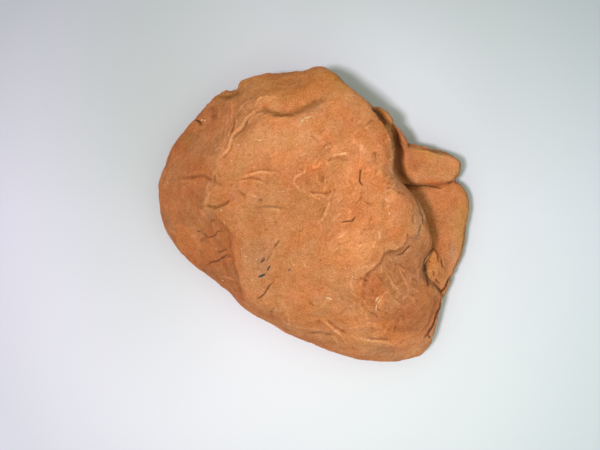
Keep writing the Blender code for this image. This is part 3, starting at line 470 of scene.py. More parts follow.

# Bands: a path, half width, stain and share. Some are painted shade, as marked.
BANDS = {
    "ring round the crystals": (
        [(17.4, 4.6), (17, 2), (17.6, -0.4), (18.8, -0.6)], 0.3, DARK, 0.35),
    # Painted shade: the fin and the crevice, which the mass's wall shades, are darkened
    "fin": ([(20.6, 21.4), (21.4, 19.6), (22.2, 17.6), (22.9, 15.5)], 0.6, DARK, 0.8),
    "crevice": (
        [(19.4, 22), (20.2, 19.5), (20.9, 16), (21, 12.5), (22, 9.5), (23.6, 7.6)], 1, DARK, 1.8),
    # Partly the stone's olive colour, partly painted shade in the creases of the valley, below the
    # notch and in the left groove
    "valley": (
        [(-14, 25.6), (-12.8, 26.2), (-11, 25.4), (-9, 25.1), (-6.5, 25), (-4, 26.3), (-2, 27.2),
         (0, 28.2), (1.5, 28.8), (3, 30)], 0.8, OLIVE, 0.5),
    "below the notch": (
        [(-24.5, 29.3), (-22.5, 29.3), (-21, 29.7), (-19.5, 30.3), (-18.6, 30.2)], 0.7, OLIVE, 0.6),
    "left groove": ([(-28.3, 2), (-27, 2.2), (-25, 1.7), (-22.8, 2.5)], 0.5, OLIVE, 0.6),
    "left rim": ([(-38.8, 4), (-38.4, 1.5), (-37.5, -1), (-36.5, -3.5), (-35, -6.5)], 1, GREY, 0.8),
    # Painted shade along the left rim
    "dark left rim": ([(-38.8, 3), (-38, -1), (-36.5, -4.5), (-33.5, -8.5)], 0.8, DARK, 0.3),
    "upper lobe's upper side": ([(23.5, 16.5), (28, 15.6), (33, 13.8)], 1.1, OLIVE, 0.5),
    "top of the right edge": ([(2, 36), (5, 34), (8, 31)], 1.2, OLIVE, 0.5),
    "inside the left rim": ([(-38, 1), (-36.2, -2.5), (-35.5, -4.5)], 0.5, GREY, 0.6),
    "cross crease": ([(-15, 1.6), (-12.5, 2), (-10.5, 2), (-7, 1.4)], 0.4, GREY, 0.5),
    "beside the crevice": (
        [(18.6, 19.5), (19.2, 17), (19.2, 14), (18.9, 12), (19.5, 9), (20.5, 7), (22, 5.5),
         (24, 3)], 0.8, GREY, 0.9),
    "shoulder": ([(24, -6.5), (25.6, -5), (26.2, -2), (25.7, 0), (24.5, 2)], 1, GREY, 0.9),
    # Painted shade: the upper lobe's lower side, which slopes down into the gap, and the gap
    # between the lobes
    "upper lobe's lower side": ([(26, 8.1), (28, 8.2), (30, 8), (33, 7.4)], 0.8, RED, 0.9),
    "shade of the upper lobe": ([(25, 7.8), (28, 7.7), (30, 7.5), (33.5, 7.4)], 0.6, DARK, 0.35),
    "between the lobes": ([(24.5, 7.4), (28, 7.1), (31.8, 6.7)], 0.6, OLIVE, 0.6),
    "lower edge": ([(2, -26.2), (5, -26.8), (8, -28), (10, -29), (13, -29)], 0.6, GREY, 0.5),
    "lower groove": ([(12, -30.5), (15, -31.1), (19, -31.2)], 0.5, GREY, 0.4),
    "lower line": ([(-2, -29.6), (1, -29.5), (4.5, -30.4)], 0.4, GREY, 0.5),
}

# Pale flecks: a path and half width
FLECKS = [
    ([(2.6, -20.7), (3.4, -20.95), (4.2, -21.3)], 0.25),
    ([(17.5, 4), (17.8, 3.4)], 0.18),
    ([(18.2, 2.4), (18.3, 1.8)], 0.16),
    ([(18.5, 0.7), (18.4, -0.1)], 0.2),
    ([(-3.6, 23.4), (-3, 23.6)], 0.3),
    ([(-3, 24.2), (-2, 24.2), (-1.1, 24.7)], 0.22),
    ([(-3.6, 23), (-4, 22.5)], 0.12),
    ([(-19.4, 17.4), (-19, 17.4)], 0.18),
    ([(-14.2, 18.6), (-13.6, 18.6)], 0.22),
    ([(-21.2, 13.4), (-20.8, 13.4)], 0.15),
    ([(-8.2, 5.8), (-7.8, 5.8)], 0.16),
    ([(-16.2, -16.4), (-15.8, -16.4)], 0.16),
    ([(-23.4, -16.5), (-23, -16.5)], 0.16),
    ([(-15, -11.2), (-14.6, -11.2)], 0.15),
    ([(-18.7, -8.5), (-18.4, -8.5)], 0.1),
    ([(-17.5, -10.5), (-17.1, -10.5)], 0.14),
    ([(-2.9, -12.7), (-2.5, -12.7)], 0.16),
    ([(5.3, -8.4), (5.7, -8.4)], 0.15),
    ([(7.2, -13.4), (7.6, -13.4)], 0.15),
    ([(10.5, -4.2), (10.9, -4.2)], 0.14),
    ([(9.1, -15.6), (9.5, -15.6)], 0.14),
    ([(9.8, -16.1), (10.1, -15.9)], 0.13),
    ([(-28.7, 23.5), (-28.2, 23.7)], 0.2),
    ([(-27.9, 23.4), (-27.4, 23.7)], 0.2),
    ([(-25, -8.6), (-24.7, -8.6)], 0.1),
    ([(-23.7, 1), (-23.3, 1)], 0.16),
    ([(6.3, 15.05), (7.6, 15.15)], 0.14),
    ([(15.1, -21.7), (15.5, -20.9), (15.9, -20.6)], 0.2),
    ([(15.6, -22.4), (16, -21.6), (16.2, -21.1)], 0.16),
    ([(15.1, -24.3), (15.15, -23.4), (15.3, -22.4)], 0.14),
    ([(16.05, -4.2), (16.1, -5.2), (15.85, -6.3)], 0.12),
]

# Dark slivers: a path and half width
SLIVERS = [
    ([(-14.5, -15.7), (-13.4, -15.3), (-12.4, -14.8)], 0.29),
    ([(-12.1, -14.2), (-11.8, -13.5), (-11.2, -12.7)], 0.2),
    ([(-6.9, -14.1), (-6.5, -13.8), (-6, -13.6)], 0.14),
    ([(-13.6, -12), (-12.9, -11.5), (-12.6, -10.9)], 0.12),
]

# Crumbs: place, half axes and turn in degrees
CRUMBS = [
    ((28.7, -10.9), (0.45, 0.8, 0.35), -20),
    ((28.6, -13.6), (0.6, 0.5, 0.4), 15),
    ((28.5, -15.3), (0.75, 0.6, 0.45), 40),
    ((29.8, -12.3), (0.8, 0.6, 0.4), -35),
    ((30.4, -14.6), (0.6, 0.45, 0.35), 10),
    ((28.8, -16.9), (0.6, 0.3, 0.25), -40),
    ((-22.5, -17.3), (0.3, 0.22, 0.15), 0),
    ((-23.8, -17.2), (0.28, 0.22, 0.15), 30),
    ((-24, -15), (0.25, 0.2, 0.15), 60),
]

# Colours of the stone, darkest first, and their places on the tint's scale
STONE_COLOURS = (
    (-1.0, (0.108, 0.043, 0.019)),
    (-0.5, (0.333, 0.120, 0.042)),
    (0.0, (0.573, 0.238, 0.094)),
    (0.5, (0.705, 0.330, 0.150)),
    (1.0, (0.830, 0.455, 0.250)),
)
# The colour of the painted shade in cracks and pits
CRACK_SHADE_COLOUR = (0.085, 0.024, 0.007)
STONE_ROUGHNESS = 0.92
SPECULAR = 0.25
DIFFUSE_ROUGHNESS = 0.6

# Steps in each span of a smooth path, and how strokes fade: towards their sides in half widths,
# and towards their ends
SPAN_STEPS = 4
REACH = 2.6
END_TAPER = 5.0
END_SHARE = 0.15

# Smooth noise: how much weaker each octave is than the last, and how much finer
NOISE_FALL = 1.0
NOISE_STEP = 2.0

# How strokes wander: length of the waves and how far they go; and how they come and go:
# length of the waves, usual strength and swing
WANDER = ((2.2, 0.20), (0.7, 0.09))
WEAR_LENGTH = 1.5
WEAR_MEAN = 1.25
WEAR_SWING = 0.55
WEAR_RANGE = (0.6, 1.8)

# Where the skin counts as facing up, as facing down and as flat, by its normal's z
FACING_UP = (0.05, 0.35)
FACING_DOWN = (0.1, 0.6)
FLAT = (0.25, 0.9)

# Broken beds on the sides: thickness, step and size of the patches where they show
BEDS = ((3.1, 0.35, 9.0), (1.2, 0.22, 6.0))
BED_NORMAL = (0.10, -0.06, 1.0)
BED_WANDER = 2.0
BED_WANDER_LENGTH = 17.0
BED_STEEPNESS = 0.5
BED_SHIFT = 13.7
BED_OUTLINE_LENGTH = 1.6
BED_PATCHES = (-0.1, 0.35)

# Unevenness: length of the waves, height and octaves
UNEVENNESS = ((5.0, 0.20, 2), (1.7, 0.09, 2), (0.7, 0.05, 1))
UNDERSIDE_UNEVENNESS = ((7.0, 0.5, 3),)
ROUGH_PATCH = ((21.0, -18.0), (9.5, 10.0), 0)
ROUGH_UNEVENNESS = ((1.4, 0.12, 2),)

# How far the whole skin moves out, and over what height its top is drawn down into the box
SKIN_GROWTH = 0.1
TOP_EASE = 0.8

# Tints of hollows and crests (painted shade in hollows, painted highlight on crests), of the
# sides (painted shade, more the steeper they are) and of zones
HOLLOW_ROUNDS = 6
HOLLOW_SHADE_AND_CREST_LIGHT = 2.0
HOLLOW_SHADE_AND_CREST_LIGHT_RANGE = (-0.15, 0.2)
SIDE_PAINTED_SHADE = -0.3
PATCH_EDGE = 2.6
PATCH_WANDER = ((6.0, 1.6), (1.5, 0.5))
BROAD_TINTS = ((3.0, 0.08), (1.2, 0.04))
# How strongly cracks are painted with shade
CRACK_SHADE_SCALE = 1.35

# Fine parallel streaks: the patch where they are, spacing, direction and strength
STREAK_PATCH = ((-2.3, -7.5), (3.2, 5.0), -20)
STREAK_SPACING = 0.58
STREAK_TURN = 135
STREAK_TINT = 0.045
STREAK_WANDER = 2.0

# Mottling: length of the waves, strength and swirl; what it adds to and takes from each
# channel at full strength; and hues: length of the waves, contrast and the hue
MOTTLING = ((6.0, 1.0, 0.5), (2.6, 0.8, 1.2), (1.0, 1.1, 1.5), (0.33, 2.8, 0.0))
MOTTLE_SWING = (0.15, 0.235, 0.38)
HUES = (
    (7.0, 4.0, (1.04, 0.90, 0.80)),
    (4.0, 4.0, (0.98, 0.97, 0.86)),
    (1.5, 3.5, (1.005, 0.975, 0.955)),
)
FINE_DETAIL = 2.0
BROAD_DETAIL = 1.0

# Specks: spacing, radius, how many are left out, and tint. Bumps: length of the waves and share
SPECKS = ((1.3, 0.12, 0.55, 0.45), (1.7, 0.1, 0.85, -0.35))
BUMPS = ((1.0, 0.45), (0.45, 0.35), (0.22, 0.2))
BUMP_HEIGHT = 0.14

# Strips that lie on the skin: flecks, slivers and the cores of cracks, which are dark strips of
# painted shade. Only cracks at least as dark as CORE_FROM have a core.
STRIP_RINGS = 9
STRIP_SPACING = 0.45
STRIP_POINT = 0.7
STRIP_JITTER = 0.25
FLECK_COLOUR = (0.86, 0.60, 0.33)
FLECK_THICKNESS = 0.06
SLIVER_COLOUR = (0.060, 0.068, 0.062)
SLIVER_THICKNESS = 0.10
CRACK_SHADE_CORE_COLOUR = (0.075, 0.022, 0.008)
CORE_THICKNESS = 0.05
CORE_FROM = 0.5
CORE_SHARE = 0.48
STRIP_MOTTLE = 0.5
STRIP_SHADE = 0.7

# Crumbs: tint, how finely they are divided, how uneven they are and in how many waves, and how
# far they sink in
CRUMB_TINT = 0.15
CRUMB_DETAIL = 3
CRUMB_ROUGHNESS = 0.28
CRUMB_WAVES = 1.3
CRUMB_SUNK = 0.35

# The paper, with painted light and shade: its colours from back (-1) to front (1) near the lump,
# a painted falloff of the light, and what multiplies them towards its sides (painted light that
# changes from left to right), in two ovals (a painted shadow and a painted pool of light) and
# far out (painted dimming)
FLOOR_SIZE = 4000.0
GRADIENT_REACH = 56.0
GRADIENT_RANGE = (95.0, 300.0)
PAPER_FALLOFF_COLOURS = (
    (-1.0, (0.620, 0.633, 0.648)),
    (0.0, (0.788, 0.786, 0.834)),
    (1.0, (0.855, 0.860, 0.875)),
)
LEFT_LIGHT_COLOUR = (1.05, 1.00, 1.05)
RIGHT_LIGHT_COLOUR = (0.96, 1.00, 0.98)
SIDE_REACH = 75.0
SHADED_OVAL = ((-42.0, 16.0), (40.0, 75.0))
SHADED_COLOUR = (0.83, 0.865, 0.815)
LIT_OVAL = ((18.0, 32.0), (32.0, 34.0))
LIT_COLOUR = (1.09, 1.10, 1.11)
DIMMED_COLOUR = (0.76, 0.77, 0.82)
DIMMED_FROM = 95.0

# The key light, its size in degrees, and the fill: as strong as FILL_AROUND on all sides, and
# stronger by up to FILL_OVERHEAD where it comes from near FILL_AIM
KEY_DIRECTION = (0.19, 0.068, -1.0)
KEY_COLOUR = (1.0, 0.94, 1.03)
KEY_STRENGTH = 1.86
KEY_SIZE = 5.5
FILL_COLOUR = (0.98, 1.12, 0.92)
FILL_AIM = (0.0, -0.10, 0.995)
FILL_AROUND = 0.19
FILL_OVERHEAD = 1.70
FILL_FOCUS = 7

# The Mix node's sockets for colours
MIX_INPUTS = (0, 6, 7)
MIX_OUTPUT = 2


def smooth_path(points):
    """The path with each span divided, on a smooth curve through its points."""
    path = np.array(points, float)
    if len(path) < 3:
        return path
    padded = np.concatenate([[2 * path[0] - path[1]], path, [2 * path[-1] - path[-2]]])
    curve = []
    for a, b, c, d in zip(padded, padded[1:], padded[2:], padded[3:]):
        for t in np.linspace(0, 1, SPAN_STEPS, endpoint=False):
            curve.append(
                0.5 * (2 * b + (c - a) * t + (2 * a - 5 * b + 4 * c - d) * t**2
                       + (3 * b - a - 3 * c + d) * t**3)
            )
    return np.array([*curve, path[-1]])


def near_path(plan, path, reach, smooth=True):
    """Of the places within reach of a path: which they are, how far from it (positive on its
    left), and how far along it their nearest point is, 0 to 1."""
    path = smooth_path(path) if smooth else np.array(path, float)
    low, high = path.min(axis=0) - reach, path.max(axis=0) + reach
    which = np.flatnonzero(((plan > low) & (plan < high)).all(axis=1))
    spans = np.linalg.norm(np.diff(path, axis=0), axis=1)
    starts = np.concatenate([[0.0], np.cumsum(spans)])
    near = plan[which]
    distance = np.full(len(which), np.inf)
    along = np.zeros(len(which))
    side = np.ones(len(which))
    for a, b, length, start in zip(path, path[1:], spans, starts):
        ahead = (b - a) / length
        offset = near - a
        t = np.clip(offset @ ahead, 0.0, length)
        gap = np.linalg.norm(offset - t[:, None] * ahead, axis=1)
        closer = gap < distance
        distance[closer] = gap[closer]
        along[closer] = (start + t[closer]) / starts[-1]
        side[closer] = np.sign(ahead[0] * offset[closer, 1] - ahead[1] * offset[closer, 0])
    return which, distance * side, along


def stroke_share(plan, path, half_widths):
    """The places that a stroke reaches and its share there: 1 on its line, less towards its
    sides and ends."""
    left, right = np.broadcast_to(half_widths, 2)
    which, offset, along = near_path(plan, path, REACH * max(left, right))
    half_width = np.where(offset > 0, left, right)
    ends = np.clip(np.minimum(along, 1 - along) * END_TAPER, END_SHARE, 1.0)
    return which, ends * np.exp(-((offset / half_width) ** 2))


def patch_share(plan, middle, half_axes, turn):
    """How far each place belongs to an oval patch, 0 to 1."""
    angle = math.radians(turn)
    along = np.array([math.cos(angle), math.sin(angle)])
    across = np.array([-along[1], along[0]])
    offset = plan - np.array(middle)
    reach = np.hypot(offset @ along / half_axes[0], offset @ across / half_axes[1])
    return np.exp(-(reach**PATCH_EDGE))


def pit_share(plan, middle, radius):
    """How far each place belongs to a round pit, 0 to 1."""
    reach = np.linalg.norm(plan - np.array(middle), axis=1) / radius
    return np.exp(-(reach**2))


def region_share(plan, outline, softness):
    """How far each place belongs to an outlined region: 1 inside, fading at its edge."""
    inside = np.zeros(len(plan), bool)
    for (x1, y1), (x2, y2) in zip(outline, [*outline[1:], outline[0]]):
        if y1 != y2:
            crossed = (plan[:, 1] > min(y1, y2)) & (plan[:, 1] <= max(y1, y2))
            inside ^= crossed & (plan[:, 0] < x1 + (plan[:, 1] - y1) * (x2 - x1) / (y2 - y1))
    share = inside.astype(float)
    which, offset, _ = near_path(plan, [*outline, outline[0]], softness, smooth=False)
    inward = np.abs(offset) * np.where(inside[which], 1.0, -1.0)
    near = np.abs(offset) < softness
    share[which[near]] = smooth_step(inward[near], -softness, softness)
    return share


def seen_from_above(points):
    """Where in the plan the camera sees each point."""
    enlarged = (CAMERA_HEIGHT - PLAN_HEIGHT) / (CAMERA_HEIGHT - points[:, 2])
    axis = np.array(CAMERA_XY)
    return axis + (points[:, :2] - axis) * enlarged[:, None] - np.array(PLAN_ORIGIN)


def smooth_step(value, low, high):
    """0 below low, 1 above high and smooth between."""
    t = np.clip((value - low) / (high - low), 0.0, 1.0)
    return t * t * (3 - 2 * t)


def smooth_noise(points, length, octaves=1, shift=0.0):
    """Smooth noise at each point, about -1 to 1, whose waves are about length long."""
    moved = np.column_stack([points, np.zeros(len(points))])[:, :3] / length + shift
    return np.array([noise.fractal(Vector(p), NOISE_FALL, NOISE_STEP, octaves) for p in moved])


def wandered(plan, waves):
    """The places moved by smooth waves, so that what is drawn on them wanders."""
    moved = plan.copy()
    for length, reach in waves:
        moved[:, 0] += reach * smooth_noise(plan, length, 1, SEED)
        moved[:, 1] += reach * smooth_noise(plan, length, 1, -SEED)
    return moved


def stroke_wear(plan):
    """How strongly strokes show at each place."""
    wear = WEAR_MEAN + WEAR_SWING * smooth_noise(plan, WEAR_LENGTH, 2, 2 * SEED)
    return np.clip(wear, *WEAR_RANGE)


def bedding_relief(points, normals):
    """Broken edges of thin beds, where the skin is steep."""
    level = points @ np.array(BED_NORMAL) + BED_WANDER * smooth_noise(points, BED_WANDER_LENGTH)
    steep = smooth_step(BED_STEEPNESS - normals[:, 2], 0.0, BED_STEEPNESS)
    height = np.zeros(len(points))
    for thickness, step, patch_length in BEDS:
        bed = np.floor(level / thickness)
        own = points + (bed * BED_SHIFT)[:, None]
        outline = np.clip(smooth_noise(own, BED_OUTLINE_LENGTH * thickness, 2), -1, 1)
        patches = smooth_step(smooth_noise(points, patch_length, 1, thickness), *BED_PATCHES)
        height += step * outline * patches
    return height * steep


def strewn_scratches():
    """Short curved strokes strewn over the top, laid out as those of STROKES are."""
    lot = random.Random(SEED)
    for number, middle, half_axes, turn, spread, lengths, tints in SCRATCHES:
        for _ in range(number):
            reach, way = math.sqrt(lot.random()), lot.uniform(0.0, 2.0 * math.pi)
            x = middle[0] + half_axes[0] * reach * math.cos(way)
            y = middle[1] + half_axes[1] * reach * math.sin(way)
            angle = math.radians(turn + lot.uniform(-spread, spread))
            bend = lot.uniform(-SCRATCH_BEND, SCRATCH_BEND)
            span = lot.uniform(*lengths) / SCRATCH_SPANS
            path = [(x, y)]
            for _ in range(SCRATCH_SPANS):
                x += span * math.cos(angle)
                y += span * math.sin(angle)
                angle += bend
                path.append((x, y))
            half_width = lot.uniform(*SCRATCH_HALF_WIDTHS)
            tint = lot.uniform(*tints)
            yield path, half_width, SCRATCH_HEIGHT * tint, tint


def pit_depth(plan, pits):
    """How far round pits lower the skin at each place."""
    return sum(depth * pit_share(plan, middle, radius) for middle, radius, depth, *_ in pits)


def drawn_relief(plan):
    """How far strokes, cracks and pits raise the skin at each place."""
    drawn_on = wandered(plan, WANDER)
    height = np.zeros(len(plan))
    for path, half_widths, rise, _ in (*STROKES, *strewn_scratches()):
        which, share = stroke_share(drawn_on, path, half_widths)
        height[which] += rise * share
    height *= stroke_wear(plan)
    for path, half_width, depth, _ in CRACKS:
        which, share = stroke_share(drawn_on, path, half_width)
        height[which] -= depth * share
    return height - pit_depth(drawn_on, PITS)


def stone_relief(points, normals):
    """How far the skin moves out at each of its points."""
    plan = seen_from_above(points)
    up = smooth_step(normals[:, 2], *FACING_UP)
    down = smooth_step(-normals[:, 2], *FACING_DOWN)
    rough = up * patch_share(plan, *ROUGH_PATCH)
    height = SKIN_GROWTH + drawn_relief(plan) * up + bedding_relief(points, normals)
    height -= pit_depth(plan, NOTCHES) * np.exp(-((normals[:, 2] / NOTCH_SLOPE) ** 2))
    layers = ((UNEVENNESS, 1.0), (UNDERSIDE_UNEVENNESS, down), (ROUGH_UNEVENNESS, rough))
    for waves, share in layers:
        for length, rise, octaves in waves:
            height += rise * share * smooth_noise(points, length, octaves, SEED)
    return height


def new_mesh_object(name, bm):
    """The bmesh as an object in the scene."""
    mesh = bpy.data.meshes.new(name)
    bm.to_mesh(mesh)
    bm.free()
    made = bpy.data.objects.new(name, mesh)
    bpy.context.scene.collection.objects.link(made)
    return made


def apply_modifiers(made):
    """Gives the object the mesh that its modifiers make, and removes them."""
    graph = bpy.context.evaluated_depsgraph_get()
    mesh = bpy.data.meshes.new_from_object(made.evaluated_get(graph))
    made.modifiers.clear()
    made.data = mesh


def read_points(made):
    """A piece's points in millimetres, and its normals."""
    vertices = made.data.vertices
    points, normals = (np.empty(len(vertices) * 3) for _ in range(2))
    vertices.foreach_get("co", points)
    vertices.foreach_get("normal", normals)
    return points.reshape(-1, 3) / MM, normals.reshape(-1, 3)


def place_points(made, points):
    """Puts a piece's points, in millimetres, where they are given, but inside the CAD box."""
    low, high = (np.array(corner) / MM for corner in cad_box)
    made.data.vertices.foreach_set("co", (np.clip(points, low, high) * MM).ravel())
    made.data.update()


def keep_in_box(made):
    """Puts points that stand out of the CAD box back on its faces."""
    place_points(made, read_points(made)[0])


def ease_top(points):
    """The points with those near the CAD box's top drawn down below it, without an edge."""
    over = np.maximum(points[:, 2] - (cad_box[1][2] / MM - TOP_EASE), 0.0)
    eased = points.copy()
    eased[:, 2] -= over - TOP_EASE * (1.0 - np.exp(-over / TOP_EASE))
    return eased


def neighbours_mean(made, values):
    """At each point, the mean of the values at the points it shares an edge with."""
    edges = np.empty(len(made.data.edges) * 2, int)
    made.data.edges.foreach_get("vertices", edges)
    a, b = edges.reshape(-1, 2).T
    number = len(values)
    count = np.bincount(a, minlength=number) + np.bincount(b, minlength=number)
    mean = np.empty_like(values)
    for column in range(values.shape[1]):
        total = np.bincount(a, values[b, column], number)
        total += np.bincount(b, values[a, column], number)
        mean[:, column] = total / count
    return mean


def relax(skin, rounds):
    """Smooths the skin."""
    points, _ = read_points(skin)
    for _ in range(rounds):
        points += SMOOTHING_SHARE * (neighbours_mean(skin, points) - points)
    place_points(skin, ease_top(points))


def fine_copy_of_solid():
    """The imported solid's form with an evenly fine, smooth skin."""
    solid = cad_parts["shale"]
    bm = bmesh.new()
    bm.from_mesh(solid.data)
    bmesh.ops.remove_doubles(bm, verts=bm.verts, dist=WELD * MM)
    skin = new_mesh_object("shale_skin", bm)
    rounding = skin.modifiers.new("rounding", "SUBSURF")
    rounding.levels = rounding.render_levels = SUBDIVISIONS
    even = skin.modifiers.new("even", "REMESH")
    even.mode = "VOXEL"
    even.voxel_size = VOXEL * MM
    apply_modifiers(skin)
    relax(skin, SMOOTHING_ROUNDS)
    return skin


def thin_out(skin):
    """Keeps the triangles where the shape needs them, most of them on top."""
    skin.modifiers.new("triangles", "TRIANGULATE")
    apply_modifiers(skin)
    _, normals = read_points(skin)
    group = skin.vertex_groups.new(name="coarse")
    top = smooth_step(normals[:, 2], *DETAILED)
    coarse = np.round(1.0 - top * (1.0 - TOP_DETAIL), COARSE_DIGITS)
    for level in np.unique(coarse):
        group.add(np.flatnonzero(coarse == level).tolist(), float(level), "REPLACE")
    modifier = skin.modifiers.new("thin_out", "DECIMATE")
    modifier.vertex_group = group.name
    modifier.vertex_group_factor = 1.0
    modifier.ratio = TRIANGLES / len(skin.data.polygons)
    apply_modifiers(skin)
    skin.vertex_groups.clear()


def paint(made, name, values):
    """Stores a value for each point, for the material to read."""
    attribute = made.data.attributes.new(name, "FLOAT", "POINT")
    attribute.data.foreach_set("value", values.astype(np.float32))


def paint_colour(made, name, colours):
    """Stores a colour for each point, for the material to read."""
    attribute = made.data.attributes.new(name, "FLOAT_COLOR", "POINT")
    with_alpha = np.column_stack([colours, np.ones(len(colours))])
    attribute.data.foreach_set("color", with_alpha.astype(np.float32).ravel())


def hollowness(skin):
    """How far each point lies below its surroundings, in millimetres; less than 0 on crests."""
    points, normals = read_points(skin)
    around = points.copy()
    for _ in range(HOLLOW_ROUNDS):
        around = neighbours_mean(skin, around)
    return ((around - points) * normals).sum(axis=1)


def drawn_tint(plan):
    """The tint that strokes give each place, partly painted highlight and shade, and how much
    painted shade cracks and pits put there.
    """
    drawn_on = wandered(plan, WANDER)
    tint, crack_and_pit_shade = np.zeros(len(plan)), np.zeros(len(plan))
    for path, half_widths, _, stroke_tint in (*STROKES, *strewn_scratches()):
        which, share = stroke_share(drawn_on, path, half_widths)
        tint[which] += stroke_tint * share
    for path, half_width, _, darkness in CRACKS:
        which, share = stroke_share(drawn_on, path, half_width)
        crack_and_pit_shade[which] = np.maximum(crack_and_pit_shade[which], CRACK_SHADE_SCALE * darkness * share)
    for middle, radius, _, darkness in PITS:
        crack_and_pit_shade = np.maximum(crack_and_pit_shade, darkness * pit_share(drawn_on, middle, radius))
    return tint * stroke_wear(plan), np.clip(crack_and_pit_shade, 0.0, 1.0)


def with_stain_shade_and_light(colours, share, stain_shade_and_light):
    """The colours multiplied by a given colour (stains, painted shade and painted light), each as
    far as its share says.
    """
    return colours * (1.0 + share[:, None] * (np.array(stain_shade_and_light) - 1.0))


def stain_shade_and_light_colours(plan):
    """What the stains, painted shade and painted light of patches, regions and bands multiply the
    stone's colour by at each place.
    """
    drawn_on = wandered(plan, PATCH_WANDER)
    colours = np.ones((len(plan), 3))
    for middle, half_axes, turn, stain_shade_and_light, strength in PATCHES.values():
        share = strength * patch_share(drawn_on, middle, half_axes, turn)
        colours = with_stain_shade_and_light(colours, share, stain_shade_and_light)
    drawn_on = wandered(plan, WANDER)
    for outline, softness, stain_shade_and_light, strength in REGIONS.values():
        colours = with_stain_shade_and_light(colours, strength * region_share(drawn_on, outline, softness), stain_shade_and_light)
    for path, half_width, stain_shade_and_light, strength in BANDS.values():
        which, share = stroke_share(drawn_on, path, half_width)
        colours[which] = with_stain_shade_and_light(colours[which], strength * share, stain_shade_and_light)
    return colours


def paint_skin(skin):
    """Tints the skin by the strokes, the patches and the relief itself: painted shade in hollows
    and on steep sides, painted highlight on crests.
    """
    points, normals = read_points(skin)
    plan = seen_from_above(points)
    up = smooth_step(normals[:, 2], *FACING_UP)
    flat = smooth_step(normals[:, 2], *FLAT)
    tint, crack_and_pit_shade = drawn_tint(plan)
    # Painted shade in hollows and on steep sides, painted highlight on crests
    relief = np.clip(-HOLLOW_SHADE_AND_CREST_LIGHT * hollowness(skin), *HOLLOW_SHADE_AND_CREST_LIGHT_RANGE)
    tint = tint * up + relief + SIDE_PAINTED_SHADE * (1.0 - flat)
    for length, strength in BROAD_TINTS:
        tint += strength * smooth_noise(points, length, 2, 3 * SEED)
    paint(skin, "tint", tint)
    paint(skin, "crack_and_pit_shade", crack_and_pit_shade * up)
    paint(skin, "streaks", patch_share(plan, *STREAK_PATCH) * up)
    paint_colour(skin, "stain_shade_and_light", 1.0 + up[:, None] * (stain_shade_and_light_colours(plan) - 1.0))


def set_inputs(tree, node, inputs):
    """Links a node's inputs to outputs, or sets them to numbers, vectors and colours."""
    for key, value in inputs.items():
        socket = node.inputs[key]
        if isinstance(value, bpy.types.NodeSocket):
            tree.links.new(value, socket)
        elif socket.type == "RGBA":
            socket.default_value = (*value, 1.0)
        else:
            socket.default_value = value


def make_node(tree, kind, inputs=(), **settings):
    """A node with these settings and inputs."""
    node = tree.nodes.new(kind)
    for name, value in settings.items():
        setattr(node, name, value)
    set_inputs(tree, node, dict(inputs))
    return node


def attribute_value(tree, name, output="Fac"):
    """The output that reads a painted value."""
    return make_node(tree, "ShaderNodeAttribute", attribute_name=name).outputs[output]


def noise_value(tree, place, length, detail=FINE_DETAIL, swirl=0.0):
    """The output of noise, 0 to 1, with waves of a length in millimetres."""
    inputs = {
        "Vector": place, "Scale": 1.0 / (length * MM), "Detail": detail, "Distortion": swirl}
    return make_node(tree, "ShaderNodeTexNoise", inputs).outputs["Fac"]


def calculate(tree, operation, *values, clamp=False):
    """The output of a calculation on outputs and numbers."""
    inputs = dict(enumerate(values))
    node = make_node(tree, "ShaderNodeMath", inputs, operation=operation, use_clamp=clamp)
    return node.outputs[0]


def calculate_vector(tree, operation, *values):
    """The output of a calculation on vectors."""
    node = make_node(tree, "ShaderNodeVectorMath", dict(enumerate(values)), operation=operation)
    return node.outputs["Value" if operation in ("LENGTH", "DOT_PRODUCT") else "Vector"]


def mix_colours(tree, way, share, first, second):
    """The output of two colours mixed."""
    inputs = dict(zip(MIX_INPUTS, (share, first, second)))
    node = make_node(tree, "ShaderNodeMix", inputs, data_type="RGBA", blend_type=way)
    return node.outputs[MIX_OUTPUT]


def colour_ramp(tree, share, stops):
    """The output of a ramp of colours from -1 to 1."""
    shifted = calculate(tree, "MULTIPLY_ADD", share, 0.5, 0.5)
    node = make_node(tree, "ShaderNodeValToRGB", {"Fac": shifted})
    elements = node.color_ramp.elements
    while len(elements) < len(stops):
        elements.new(0.5)
    for element, (place, colour) in zip(elements, stops):
        element.position = (place + 1.0) / 2.0
        element.color = (*colour, 1.0)
    return node.outputs["Color"]


def fade_out(tree, value, start, end):
    """The output that is 1 up to start, 0 from end on, and smooth between."""
    inputs = dict(enumerate((value, start, end, 1.0, 0.0)))
    node = make_node(tree, "ShaderNodeMapRange", inputs, interpolation_type="SMOOTHSTEP")
    return node.outputs[0]


def oval_share(tree, place, middle, half_axes):
    """The output that is 1 in an oval's middle and fades to 0 at its edge."""
    middle = (middle[0] * MM, middle[1] * MM, 0.0)
    half_axes = (half_axes[0] * MM, half_axes[1] * MM, 1.0)
    offset = calculate_vector(tree, "SUBTRACT", place, middle)
    reach = calculate_vector(tree, "DIVIDE", offset, half_axes)
    return fade_out(tree, calculate_vector(tree, "LENGTH", reach), 0.0, 1.0)


def grain_normal(tree, place):
    """The output of normals with fine grain."""
    height = 0.0
    for length, share in BUMPS:
        height = calculate(tree, "MULTIPLY_ADD", noise_value(tree, place, length), share, height)
    inputs = {"Strength": 1.0, "Distance": BUMP_HEIGHT * MM, "Height": height}
    return make_node(tree, "ShaderNodeBump", inputs).outputs["Normal"]


